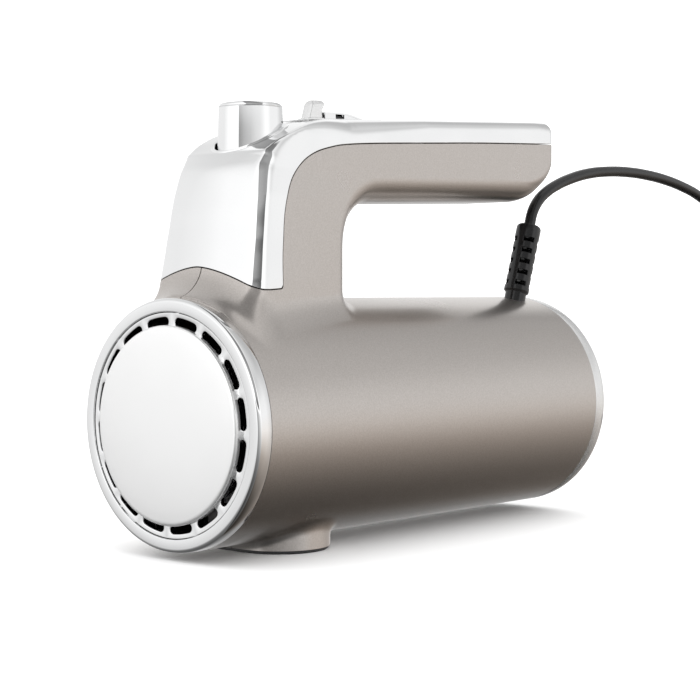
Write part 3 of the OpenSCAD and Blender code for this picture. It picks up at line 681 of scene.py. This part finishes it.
# What is cut out of the one smooth surface. CLEAR keeps the points that a cut leaves alone.
RELIEF_FOOT = (8.0, 146.7, 91.2)
RELIEF_TILT = math.radians(18.6)
RELIEF_HOLE_R = 4.75
RELIEF_REACH = 34.5
FORM_LOW, FORM_HIGH = (-48, -50, -3), (48, 166, 173)
JOINT_GAP, SEAM_HALF, MIDDLE_GAP = 0.1, 0.32, 0.34
CLEAR = 9.0
HANDLE_LOW = 105
MARCH_ROUNDS = 60
WELL_FLOOR_HANDLE, WELL_FLOOR_BODY = -14.0, -22.0
SCREW_POSTS = [(-30, 18), (140, 17), (140, 79), (66, 143), (140, 147)]
SCREW_WELL_R = 3.2
SLOT_HALF, SLOT_U = 2.6, (-7.3, 8.9)
TURBO_HALF, TURBO_U = 3.2, (9.3, 32.0)


def slot_field(p, half, span, corner=0.6):
    """Distance outside a rounded slot in the handle's top, whose span runs along the top line."""
    u = (p[:, 1] - GRIP_REF[0]) * math.cos(GRIP_SLOPE) + (p[:, 2] - GRIP_REF[1]) * math.sin(GRIP_SLOPE)
    dx = np.abs(p[:, 0]) - half + corner
    du = np.abs(u - (span[0] + span[1]) / 2) - (span[1] - span[0]) / 2 + corner
    outside = np.hypot(np.maximum(dx, 0), np.maximum(du, 0))
    return outside + np.minimum(np.maximum(dx, du), 0) - corner


def housing_pieces(grid):
    """The two housing halves and the bright cover, from one smooth surface."""
    field, cover = make_housing_field(), make_cover_field()
    points, quads = surface_net(field, FORM_LOW, FORM_HIGH, grid)
    points = relaxed(field, onto(field, points, 4), quads, 8)

    def cut(sheet, rule):
        """The part of a sheet where the rule's value at its points is positive."""
        return clipped(*sheet, rule(sheet[0]))

    def outside_relief(p):
        along = np.array([0, math.sin(RELIEF_TILT), math.cos(RELIEF_TILT)])
        from_foot = p - np.array(RELIEF_FOOT)
        across = from_foot - (from_foot @ along)[:, None] * along
        return np.where(p[:, 2] > AXIS_Z, np.linalg.norm(across, axis=1) - RELIEF_HOLE_R, CLEAR)

    def outside_knob(p):
        gap = np.hypot(p[:, 0], p[:, 1] - HOLE_Y) - HOLE_R - 0.5
        return np.where(p[:, 2] > KNOB_TOP - 30, gap, CLEAR)

    shell = (points, split_quads(points, quads))
    shell = cut(shell, lambda p: p[:, 1] - BODY_FRONT - JOINT_GAP)
    shell = cut(shell, lambda p: np.where(p[:, 2] < HANDLE_LOW, BODY_REAR - JOINT_GAP - p[:, 1], CLEAR))
    shell = cut(shell, lambda p: p[:, 2] - PLATE_T - JOINT_GAP)

    bright = cut(shell, lambda p: cover(*p.T) - SEAM_HALF)
    bright = cut(bright, lambda p: slot_field(p, SLOT_HALF + 0.4, SLOT_U))
    bright = cut(bright, lambda p: slot_field(p, TURBO_HALF + 0.4, (TURBO_U[0] - 0.4, TURBO_U[1] + 0.9)))
    bright = cut(bright, outside_knob)
    add("front_cover_shell", as_shell(field, *bright), "chrome_trim", "front_cover")
    collar_piece(field)
    screw_wells(field)

    painted = cut(shell, lambda p: -cover(*p.T) - SEAM_HALF)
    for side, name in ((-1, "housing_left"), (1, "housing_right")):
        half = cut(painted, lambda p: side * p[:, 0] - MIDDLE_GAP)
        if side > 0:
            half = cut(half, outside_relief)
        else:
            for y, z in SCREW_POSTS:
                half = cut(half, lambda p: np.hypot(p[:, 1] - y, p[:, 2] - z) - SCREW_WELL_R)
        add(name + "_shell", as_shell(field, *half), "taupe_paint", name)


def screw_wells(field):
    """The recesses for the screw heads in the left half, each with a floor round its screw."""
    steps, shank_r, wall = 40, 1.7, 0.8
    angles = np.linspace(0, 2 * math.pi, steps, endpoint=False)
    parts = []
    for y, z in SCREW_POSTS:
        ys, zs = y + SCREW_WELL_R * np.cos(angles), z + SCREW_WELL_R * np.sin(angles)
        mouth = np.full(steps, -60.0)
        for _ in range(MARCH_ROUNDS):
            mouth = mouth + np.maximum(field(mouth, ys, zs), -2) * 0.9
        floor = np.full(steps, WELL_FLOOR_HANDLE if z > HANDLE_LOW else WELL_FLOOR_BODY)
        rows = [(mouth + 0.3, SCREW_WELL_R), (floor, SCREW_WELL_R), (floor, shank_r), (floor + 1.5, shank_r),
                (floor + 1.5, SCREW_WELL_R + wall), (mouth + 1.6, SCREW_WELL_R + wall)]
        points = [(x, y + r * math.cos(a), z + r * math.sin(a))
                  for xs, r in rows for x, a in zip(xs, angles)]
        parts.append((points, grid_faces(len(rows), steps, True)))
    add("housing_left_wells", mesh_of(*joined(parts)), "taupe_paint")


def collar_piece(field):
    """The raised rim round the knob's hole, which follows the crown."""
    steps = 144
    angles = np.linspace(0, 2 * math.pi, steps, endpoint=False)
    profile = [(0, -6.0), (0, 0.25), (0.1, 0.42), (0.35, 0.5), (0.8, 0.5), (1.1, 0.38), (1.25, 0.1),
               (1.3, -0.6), (1.0, -6.0)]
    x, y = (HOLE_R + 0.6) * np.sin(angles), HOLE_Y - (HOLE_R + 0.6) * np.cos(angles)
    base = np.full(steps, 172.0)
    for _ in range(MARCH_ROUNDS):
        base = base - np.maximum(field(x, y, base), -2) * 0.9
    points = [((HOLE_R + out) * math.sin(a), HOLE_Y - (HOLE_R + out) * math.cos(a), z + up)
              for a, z in zip(angles, base) for out, up in profile]
    mesh = mesh_of(points, grid_faces(steps, len(profile), True))
    add("front_cover_collar", mesh, "chrome_trim")


# ---------------------------------------------------------------- front and rear
def front_ring():
    """The bright ring round the front, turned from one outline."""
    lip, edge_r, back = RING_LOW[1], 1.45, BODY_FRONT - 0.16
    outline = [(40.15, -40), *arc(40.55, lip + 0.4, 0.4, 0.4, 180, 270, 4),
               *arc(BODY_R - edge_r, lip + edge_r, edge_r, edge_r, 270, 358, 10),
               (RING_R, BODY_FRONT - 0.45), (RING_R - 0.22, back), (42.4, back), (42.2, -40)]
    add("front_ring_turned", turned_mesh(outline, 224, ALONG_Y, 50), "chrome_trim", "front_ring")


GRILLE_FACE = -49.4
SLOTS = 16
SLOT_TURN = 99.0


def vent_grille():
    """The slotted ring between the front ring and the disc, with rounded slot edges."""
    inner, outer, plate_t = 30.0, 39.85, 2.0
    slot_in, slot_out, slot_span = 35.1, 38.3, 17.6
    end = (slot_out - slot_in) / 2
    middle = (slot_in + slot_out) / 2
    lean = slot_span / 2 - math.degrees(end / middle)
    side = 10
    pitch = 360 / SLOTS

    def slot_outline(grow):
        """Slot outline grown by an amount, in polar (radius, degrees) about the motor axis."""
        e = end + grow
        made = []
        for sign in (-1, 1):
            made += [(middle - sign * e, sign * (2 * lean * k / side - lean)) for k in range(side + 1)]
            made += [(middle - sign * e * math.cos(math.radians(a)),
                      sign * (lean + math.degrees(e * math.sin(math.radians(a)) / middle)))
                     for a in range(30, 180, 30)]
        return made

    half, across = pitch / 2, [(outer - inner) * k / 6 for k in range(1, 6)]
    border = ([(outer, half - pitch * k / side) for k in range(side + 1)]
              + [(outer - d, -half) for d in across]
              + [(inner, -half + pitch * k / side) for k in range(side + 1)]
              + [(inner + d, half) for d in across])
    rows = [(border, 0.0), (slot_outline(0.35), 0.0), (slot_outline(0.12), 0.08), (slot_outline(0.0), 0.35),
            (slot_outline(0.0), plate_t), (border, plate_t)]
    parts = []
    for k in range(SLOTS):
        points = []
        for ring, down in rows:
            for r, t in ring:
                a = math.radians(SLOT_TURN + k * pitch + t)
                points.append((r * math.cos(a), GRILLE_FACE + down, AXIS_Z + r * math.sin(a)))
        parts.append((points, grid_faces(len(rows), len(border))))
    mesh = mesh_of(*joined(parts), 30, 0.02)
    add("vent_grille_slotted", mesh, "chrome_trim", "vent_grille")


def front_disc():
    """The low domed disc in the middle of the front."""
    outline = smooth_line([(0.0, -52.4), (12, -52.35), (22, -52.18), (30, -51.9), (34.4, -51.62)], 6)
    outline += [(35.0, -51.45), (35.35, -51.1), (35.5, -50.6), (35.5, -49.35), (28, -49.35), (28, -47.9),
                (0.0, -47.9)]
    add("front_disc_domed", turned_mesh(outline, 192, ALONG_Y, 50), "satin_metal", "front_disc")


def rear_cap():
    """The satin end cap with its rounded rear edge."""
    back, joint = CAP_HIGH[1], BODY_REAR + 0.2
    outline = smooth_line([(0.0, back), (20, back - 0.2), (34, back - 0.55), (40, back - 0.95)], 5)
    outline += smooth_line([(42.6, back - 1.4), (44, back - 2.3), (44.75, back - 3.5),
                            (BODY_R, back - 4.9)], 4)
    outline += [(BODY_R, joint + 0.25), (BODY_R - 0.15, joint), (BODY_R - 2.6, joint),
                (BODY_R - 2.7, joint - 3.6), (BODY_R - 4.5, joint - 3.6), (BODY_R - 4.5, back - 4.5),
                (0.0, back - 3)]
    mesh = turned_mesh(outline, 224, ALONG_Y, 50)
    add("rear_cap_turned", mesh, "cap_satin", "rear_cap", slot="satin_metal")


def base_plate():
    """The dark plate under the boss, with a hole for each beater."""
    straight, reach, hole = BOSS_HALF - BOSS_R, BOSS_R - 0.5, 5.8
    steps = 96
    quarter = steps // 4
    top = PLATE_T - 0.05

    def edge_point(k, r):
        """The half plate's outline at the step that faces step k round the hole."""
        if k <= quarter or k >= steps - quarter:
            a = 2 * math.pi * k / steps
            return straight + r * math.cos(a), r * math.sin(a)
        share = 1 - abs(k - steps / 2) / (steps / 2 - quarter)
        y = math.copysign(r, steps / 2 - k) * min(1, 2 * (1 - share))
        return straight * max(0, 1 - 2 * share), y

    def hole_point(k, r):
        a = 2 * math.pi * k / steps
        return SOCKET_X + r * math.cos(a), r * math.sin(a)

    rows = [(edge_point, reach, top), (edge_point, reach, 0.4), (edge_point, reach - 0.4, 0.0),
            (hole_point, hole + 0.5, 0.0), (hole_point, hole + 0.1, 0.4), (hole_point, hole, top)]
    parts = []
    for s in (-1, 1):
        flat = [(point(k, r), z) for point, r, z in rows for k in range(steps)]
        parts.append(([(s * x, y, z) for (x, y), z in flat], grid_faces(len(rows), steps, True)))
    mesh = mesh_of(*joined(parts), 35, 0.01)
    add("base_plate_moulded", mesh, "black_plastic", "base_plate")


# ---------------------------------------------------------------- controls
def eject_knob():
    """The bright round knob with a crisp top edge and its stem."""
    foot, top, stem_r = 140.5, KNOB_TOP, 3.6
    outline = [(0.0, top - 0.35), (6, top - 0.3), (10.3, top - 0.05)]
    outline += smooth_line([(10.8, top), (11.3, top - 0.22), (11.68, top - 0.75), (11.8, top - 1.3)], 3)
    outline += [(11.68, top - 1.42), (11.72, top - 1.6), (11.9, top - 1.75), (KNOB_R, foot), (10.6, foot),
                (10.2, top - 3), (stem_r, top - 3), (stem_r, KNOB_LOW[2]), (0.0, KNOB_LOW[2])]
    mesh = turned_mesh(outline, 160, Matrix.Translation((0, KNOB_Y, 0)), 40)
    add("eject_knob_turned", mesh, "chrome_trim", "eject_knob", body="ejector")


def grip_mesh(parts):
    """A mesh whose points are given in the handle's own axes (x, u, w)."""
    points, faces = joined(parts)
    return mesh_of([tuple(GRIP @ Vector(p)) for p in points], faces)


def stacked(sections, corner):
    """Rounded oblongs (w, u from, u to, half width) joined into one closed form."""
    points = []
    for w, u0, u1, half in sections:
        r = min(corner, half * 0.95, (u1 - u0) * 0.45)
        for cx, cu, start in ((half - r, u1 - r, 0), (r - half, u1 - r, 90), (r - half, u0 + r, 180),
                              (half - r, u0 + r, 270)):
            points += [(x, u, w) for x, u in arc(cx, cu, r, r, start, start + 90, 5)]
    n = len(points) // len(sections)
    ends = [tuple(range(n - 1, -1, -1)), tuple(range(len(points) - n, len(points)))]
    return points, grid_faces(len(sections), n) + ends


def speed_slider():
    """The leaning speed tab with its rounded top, on its shoe."""
    tab = stacked([(-6, 1.4, 8.4, 2.2), (0.6, 1.4, 8.4, 2.2), (0.62, 1.1, 8.7, 2.4), (1.2, 1.3, 8.75, 2.4),
                   (4.0, 2.4, 8.85, 2.4), (6.2, 3.3, 10.3, 2.4), (6.6, 3.5, 10.4, 2.35),
                   (7.1, 3.8, 10.3, 2.15), (7.6, 4.2, 10.0, 1.8), (7.95, 4.7, 9.6, 1.35),
                   (8.15, 5.3, 9.1, 0.8)], 0.5)
    shoe = stacked([(0.82, 0.4, 9.0, 3.4), (1.15, 0.4, 9.0, 3.4), (1.3, 0.6, 8.8, 3.2)], 0.8)
    # The tab and its shoe wear the darker satin, which is painted shade on a bright part.
    add("speed_slider_tab", grip_mesh([tab, shoe]), "tab_shaded_satin", "speed_slider", body="slider",
        slot="chrome_trim")


def turbo_button():
    """The low arched turbo button with its dark window."""
    first, last = TURBO_U
    roof = smooth_line([(first, 3.3), (first + 0.5, 3.5), (14, 3.5), (20, 3.3), (25, 2.6), (29, 1.6),
                        (last, 0.7)], 4)
    window_from, window_to, sill = 15.6, 20.6, -1.2
    side, depth = TURBO_HALF, -4.5
    parts = [prism([*roof, *[(u, w - 0.8) for u, w in reversed(roof)]], 0, -side, side)]
    for s in (-1, 1):
        low, high = sorted((s * (side - 0.2), s * (side - 1.2)))
        for start, end in ((first + 0.2, window_from), (window_to, last - 0.3)):
            under_roof = [(u, np.interp(u, *zip(*roof)) - 0.4) for u in np.linspace(start, end, 7)]
            parts.append(prism([(start, depth), *under_roof, (end, depth)], 0, low, high))
        below_window = [(window_from - 0.1, depth), (window_from - 0.1, sill), (window_to + 0.1, sill),
                        (window_to + 0.1, depth)]
        parts.append(prism(below_window, 0, low, high))
    front_wall = [(first + 0.2, depth), (first + 1.2, depth), (first + 1.2, 3.0), (first + 0.2, 3.0)]
    parts.append(prism(front_wall, 0, 0.2 - side, side - 0.2))
    mesh = grip_mesh(parts)
    bevelled(add("turbo_button_arch", mesh, "chrome_trim", "turbo_button", body="turbo"), 0.18, 2)


def control_bezel():
    """The thin plate round the slider and the button, bent to follow the crown."""
    half, front, rear, proud, thick = 9.0, -8.1, 36.0, 0.5, 0.46
    bend_u, bend = -5, 0.05
    slot_front = SLOT_U[0] + 0.3
    turbo_side, turbo_rear = TURBO_HALF + 0.4, TURBO_U[1] + 0.4
    xs = [-half, -turbo_side, -SLOT_HALF, 0.0, SLOT_HALF, turbo_side, half]
    us = [front, slot_front, bend_u, 0, 5, SLOT_U[1], 12, 20, 26, turbo_rear, rear]

    def is_open(x, u):
        if u < SLOT_U[1]:
            return abs(x) < SLOT_HALF and u > slot_front
        return abs(x) < turbo_side and u < turbo_rear

    points = [(x, u, proud - bend * max(0, bend_u - u)) for u in us for x in xs]
    n = len(xs)
    faces = [(j * n + i, j * n + i + 1, (j + 1) * n + i + 1, (j + 1) * n + i)
             for j in range(len(us) - 1) for i in range(n - 1)
             if not is_open((xs[i] + xs[i + 1]) / 2, (us[j] + us[j + 1]) / 2)]
    mesh = grip_mesh([(points, faces)])
    piece = add("control_bezel_plate", mesh, "chrome_trim", "control_bezel")
    thicken = piece.modifiers.new("thickness", "SOLIDIFY")
    thicken.thickness = thick * MM
    thicken.offset = -1
    bevelled(piece, 0.15, 2)


# ---------------------------------------------------------------- strain relief, cord and plug
CORD_D = 5.0
CORD_ROUTE = [
    (8, 157.7, 124), (8, 160.2, 130.4), (8, 164.4, 135.4), (8, 170.4, 139.4), (8, 178.4, 142.9),
    (8, 190, 146.5), (8, 204, 149.5), (8, 220, 151.3), (8, 238, 152), (8, 256, 151.5),
    (8, 273, 150), (8, 289, 147.5), (8, 304, 144), (8, 317, 139), (8, 328, 131.5),
    (8, 336, 121.5), (8, 341, 109.5), (8, 343.5, 96), (8, 344.5, 82), (8, 345, 68),
    (8, 346, 54), (8, 348.5, 40.5), (8, 353, 28.5), (8, 360.5, 18.5), (8, 371, 11.2), (8, 380, 8.3)]
TAIL_ROUTE = [(78, 379, 2.5), (78, 372, 2.9), (78, 365, 4.1), (78, 358, 5.7), (78, 352, 6.7)]
COIL_CENTRE = (43.0, 384.0)
COIL_OUT, COIL_IN = 35.0, 20.0
COIL_TURNS = 3
PLUG_X, PLUG_Y, PLUG_T = 78.0, 344.0, 13.7


def coil_points():
    """Inward on the upper layer, down at the middle and outward on the lower layer, clockwise."""
    per_turn = 24
    whole = COIL_TURNS * per_turn
    made = [(k / per_turn, COIL_OUT - CORD_D * k / per_turn, 1.5 * CORD_D) for k in range(1, whole + 1)]
    for k in range(1, per_turn // 2 + 1):
        s = k / per_turn
        made.append((COIL_TURNS + s, COIL_IN, (1 + 0.5 * math.cos(2 * math.pi * s)) * CORD_D))
    for k in range(1, whole):
        s = k / per_turn
        bulge = math.sin(math.pi * s) ** 2
        made.append((COIL_TURNS + 0.5 + s, COIL_IN + CORD_D * s + bulge, 0.5 * CORD_D))
    points = []
    for turns, r, z in made:
        a = math.pi - 2 * math.pi * turns
        points.append((COIL_CENTRE[0] + r * math.cos(a), COIL_CENTRE[1] + r * math.sin(a), z))
    return points


def power_cord(plug):
    """The cord's whole length as one smooth line: arch, drop, coil and the tail to the plug."""
    line = [*CORD_ROUTE, *coil_points(), *TAIL_ROUTE]
    curve = bpy.data.curves.new("power_cord_line", "CURVE")
    curve.dimensions = "3D"
    curve.resolution_u = 5
    curve.bevel_depth = CORD_D / 2 * MM
    curve.bevel_resolution = 5
    curve.use_fill_caps = True
    spline = curve.splines.new("BEZIER")
    spline.bezier_points.add(len(line) - 1)
    for point, place in zip(spline.bezier_points, line):
        point.co = Vector(place) * MM
        point.handle_left_type = "AUTO"
        point.handle_right_type = "AUTO"
    piece = add("power_cord_line", curve, "black_rubber", "power_cord", "cord_coil")


def strain_relief():
    """A ribbed sleeve: a plain foot, five rows of four windows and a collar at the tip."""
    around, rows, per_row, rib_share, phase = 48, 5, 4, 0.36, 0.17
    first, pitch, tall = 6.4, 5.0, 2.0
    rib_r, collar_r = 5.3, 5.4
    profile = [(-3.0, 4.58), (3.4, 4.58), (4.3, 5.5), (first, 5.5)]
    windows = range(len(profile) - 1, len(profile) - 1 + 2 * rows, 2)
    for row in range(rows):
        r = collar_r if row == rows - 1 else rib_r
        profile += [(first + row * pitch + tall, r), (first + (row + 1) * pitch, r)]
    profile += [(31.6, collar_r), (33.6, collar_r), (RELIEF_REACH, 4.9)]
    inner = CORD_D / 2 + 0.1
    count = len(profile)

    def solid(level, k):
        if not 0 <= level < count - 1:
            return False
        return level not in windows or (k / around * per_row + phase) % 1 < rib_share

    def at(wall, level, k):
        return (wall * count + level) * around + k % around

    angles = [2 * math.pi * k / around for k in range(around)]
    skins = [profile, [(z, inner) for z, _ in profile]]
    points = [(r * math.cos(a), r * math.sin(a), z) for skin in skins for z, r in skin for a in angles]
    faces = []
    for level in range(count - 1):
        for k in range(around):
            if not solid(level, k):
                continue
            cell = [(level, k), (level, k + 1), (level + 1, k + 1), (level + 1, k)]
            faces += [tuple(at(wall, *corner) for corner in cell) for wall in (0, 1)]
            for j, beside in enumerate([(level - 1, k), (level, k + 1), (level + 1, k), (level, k - 1)]):
                if not solid(*beside):
                    a, b = cell[j], cell[(j + 1) % 4]
                    faces.append((at(0, *a), at(0, *b), at(1, *b), at(1, *a)))
    place = Matrix.Translation(RELIEF_FOOT) @ Matrix.Rotation(-RELIEF_TILT, 4, "X")
    mesh = mesh_of([tuple(place @ Vector(p)) for p in points], faces)
    bevelled(add("strain_relief_sleeve", mesh, "black_rubber", "strain_relief"), 0.25, 2)


def mains_plug():
    """A flat two-pin plug with insulated pin roots."""
    half, shoulder, tip = 17.6, 13.0, 5.0
    right = [(half, -36), (half, -29), (shoulder, -20), (7.5, -8), (tip, 0)]
    outline = [(-half, -36), *right, *[(-x, y) for x, y in right[:0:-1]]]
    outline = rounded(outline, [2.5, 2.5, 3, 5, 5, 1, 1, 5, 5, 3], 4)
    points, faces = prism([(PLUG_X + x, PLUG_Y + y) for x, y in outline], 2, 0.0, PLUG_T)
    mesh = mesh_of(points, faces)
    piece = add("mains_plug_body", mesh, "black_rubber", "mains_plug")
    bevelled(piece, 1.6, 4, 40)

    def turned_part(name, outline, steps, x, y, turn, finish):
        place = Matrix.Translation((PLUG_X + x, PLUG_Y + y, PLUG_T / 2)) @ Matrix.Rotation(turn, 4, "X")
        add(name, turned_mesh(outline, steps, place), finish).parent = piece

    nose = rounded([(2.6, 0), (4.8, 0), (4.6, 3), (4.1, 8), (3.6, 12), (2.6, 12)], 0.4, 3)
    sleeve = [(0.0, 0), (2.0, 0), (2.0, 10.8), (1.9, 11), (0.0, 11)]
    pin = [(0.0, 10.5), (1.96, 10.5), (1.96, 18.2), (1.6, 19.4), (0.9, 20.0), (0.0, 20.0)]
    turned_part("mains_plug_nose", nose, 48, 0, -0.6, math.radians(-90), "black_rubber")
    for x, side in ((-9.5, "left"), (9.5, "right")):
        turned_part("plug_pin_sleeve_" + side, sleeve, 32, x, -35, math.radians(90), "black_plastic")
        turned_part("plug_pin_" + side, pin, 32, x, -35, math.radians(90), "steel")
    return piece


# ---------------------------------------------------------------- CAD nodes that stay
def finish_cad_nodes():
    """Gives every CAD node that stays in view its procedural finish."""
    slots = {row["node"]: row["material_slot"] for row in frame["record"]["subparts"]}
    for name, node in frame["nodes"].items():
        node.data.materials.clear()
        node.data.materials.append(FINISHES[slots[name]])


# ---------------------------------------------------------------- stage and light
def make_stage():
    """A pale floor that catches a soft shadow."""
    mesh = bpy.data.meshes.new("floor")
    reach = 6.0
    mesh.from_pydata([(-reach, -reach, 0), (reach, -reach, 0), (reach, reach, 0), (-reach, reach, 0)], [],
                     [(0, 1, 2, 3)])
    floor = bpy.data.objects.new("floor", mesh)
    bpy.context.scene.collection.objects.link(floor)
    material, _, shader = new_material("floor", (0.93, 0.93, 0.93), roughness=0.8, specular=0.1)
    mesh.materials.append(material)
    floor.visible_glossy = False


def make_light():
    """A white studio: bright overhead and at the sides, grey behind the viewer and dark below."""
    world = bpy.data.worlds.new("studio")
    world.use_nodes = True
    bpy.context.scene.world = world
    tree = world.node_tree
    background = tree.nodes["Background"]
    split = new_node(tree, "SeparateXYZ")
    tree.links.new(new_node(tree, "TexCoord").outputs["Generated"], split.inputs["Vector"])

    def maths(operation, a, b, clamp=False):
        node = new_node(tree, "Math")
        node.operation, node.use_clamp = operation, clamp
        for socket, value in zip(node.inputs, (a, b)):
            if np.isscalar(value):
                socket.default_value = value
            else:
                tree.links.new(value, socket)
        return node.outputs[0]

    def product(first, *others):
        for other in others:
            first = maths("MULTIPLY", first, other)
        return first

    def less(value):
        """One minus a value."""
        return maths("SUBTRACT", 1.0, value)

    def stops(factor, points):
        """A grey ramp over positions from 0 to 1."""
        node = new_node(tree, "ValToRGB")
        elements = node.color_ramp.elements
        for element, (position, grey) in zip(elements, (points[0], points[-1])):
            element.position, element.color = position, (grey, grey, grey, 1)
        for position, grey in points[1:-1]:
            elements.new(position).color = (grey, grey, grey, 1)
        tree.links.new(factor, node.inputs["Fac"])
        return node.outputs["Color"]

    height = maths("ADD", product(split.outputs["Z"], 0.5), 0.5)
    angle = maths("ARCTAN2", split.outputs["X"], product(split.outputs["Y"], -1.0))
    turn = maths("ADD", maths("DIVIDE", angle, 2 * math.pi), 0.5)

    def by_height(table):
        return stops(height, [(0.5 + 0.5 * math.sin(math.radians(d)), grey) for d, grey in table])

    def by_turn(table):
        return stops(turn, [(d / 360 + 0.5, grey) for d, grey in table])

    def beside(plane):
        """Share of the panel on its side of one plane through the mixer."""
        x, y, z = [product(split.outputs[axis], weight) for axis, weight in zip("XYZ", plane)]
        total = maths("ADD", maths("ADD", x, y), z)
        return maths("ADD", product(total, PANEL_EDGE), 0.5, True)

    front = product(by_height(SKY_BY_HEIGHT), by_turn(SKY_BY_TURN))
    front = product(front, less(product(less(by_turn(LOW_SECTOR)), by_height(LOW_SHARE))))
    panel = product(*[beside(plane) for plane in PANEL_SIDES], by_height(PANEL_START))
    front = product(front, less(product(panel, less(by_height(PANEL_BY_HEIGHT)))))
    rear_share = by_turn(REAR_SECTOR)
    rear = product(by_height(REAR_BY_HEIGHT), by_turn(REAR_BY_TURN), rear_share)
    level = maths("ADD", rear, product(front, less(rear_share)))
    is_glossy = new_node(tree, "LightPath").outputs["Is Glossy Ray"]
    choose = new_node(tree, "Mix")
    choose.data_type = "FLOAT"
    choose.inputs["A"].default_value = SKY_PLAIN
    tree.links.new(is_glossy, choose.inputs["Factor"])
    tree.links.new(level, choose.inputs["B"])
    tree.links.new(choose.outputs["Result"], background.inputs["Strength"])
    warmth = new_node(tree, "Mix")
    warmth.data_type = "RGBA"
    warmth.inputs["A"].default_value = (1, 1, 1, 1)
    warmth.inputs["B"].default_value = WARM_TINT
    tree.links.new(product(is_glossy, by_height(WARM_SHARE), rear_share), warmth.inputs["Factor"])
    tree.links.new(warmth.outputs["Result"], background.inputs["Color"])


# The tables give grey by elevation, or by azimuth with 0 ahead of the mixer and 90 to +X, in degrees.
SKY_PLAIN = 1.7
SKY_BY_HEIGHT = [(-90, 0.12), (-40, 0.18), (-25, 0.36), (-12, 0.74), (-3, 1.0), (8, 1.18), (25, 1.12),
                 (42, 0.98), (65, 0.88), (90, 0.9)]
SKY_BY_TURN = [(-180, 0.95), (-150, 0.95), (-125, 0.78), (-80, 0.76), (-62, 0.76), (-50, 0.84),
               (-40, 0.92), (-20, 0.98), (0, 1.12), (40, 1.25), (75, 1.02), (180, 0.95)]
REAR_BY_HEIGHT = [(-90, 0.05), (-50, 0.05), (-40, 0.12), (-30, 0.25), (-20, 0.43), (-12, 0.69), (-4, 0.93),
                  (6, 0.95), (14, 0.91), (20, 0.8), (28, 0.67), (42, 0.7), (60, 0.85), (90, 0.95)]
REAR_BY_TURN = [(-180, 0.75), (-165, 0.75), (-150, 1.0), (152, 1.0), (172, 0.78), (180, 0.75)]
REAR_SECTOR = [(-180, 1.0), (-165, 1.0), (-152, 0.0), (100, 0.0), (120, 1.0), (180, 1.0)]
LOW_SECTOR = [(-180, 1.0), (1, 1.0), (3, 0.23), (22, 0.33), (44, 0.39), (67, 0.6), (82, 0.72), (106, 1.0),
              (180, 1.0)]
LOW_SHARE = [(-90, 1.0), (8, 1.0), (11, 0.0), (90, 0.0)]
PANEL_SIDES = [(0.80, 0.54, 0.25), (-0.153, -0.93, 0.33)]
PANEL_EDGE = 18.0
PANEL_START = [(-90, 0.0), (11, 0.0), (13, 1.0), (90, 1.0)]
PANEL_BY_HEIGHT = [(-90, 0.06), (13, 0.07), (17, 0.14), (22, 0.32), (40, 0.34), (55, 0.24), (90, 0.22)]
WARM_SHARE = [(-90, 1.0), (-20, 0.8), (5, 0.0), (90, 0.0)]
WARM_TINT = (1, 0.86, 0.74, 1)


# ---------------------------------------------------------------- assembly
make_camera()
finish_cad_nodes()
power_cord(mains_plug())
strain_relief()
housing_pieces(1.25)
front_ring()
vent_grille()
front_disc()
rear_cap()
base_plate()
eject_knob()
control_bezel()
speed_slider()
turbo_button()
make_stage()
make_light()
bpy.context.scene.view_settings.view_transform = "Standard"
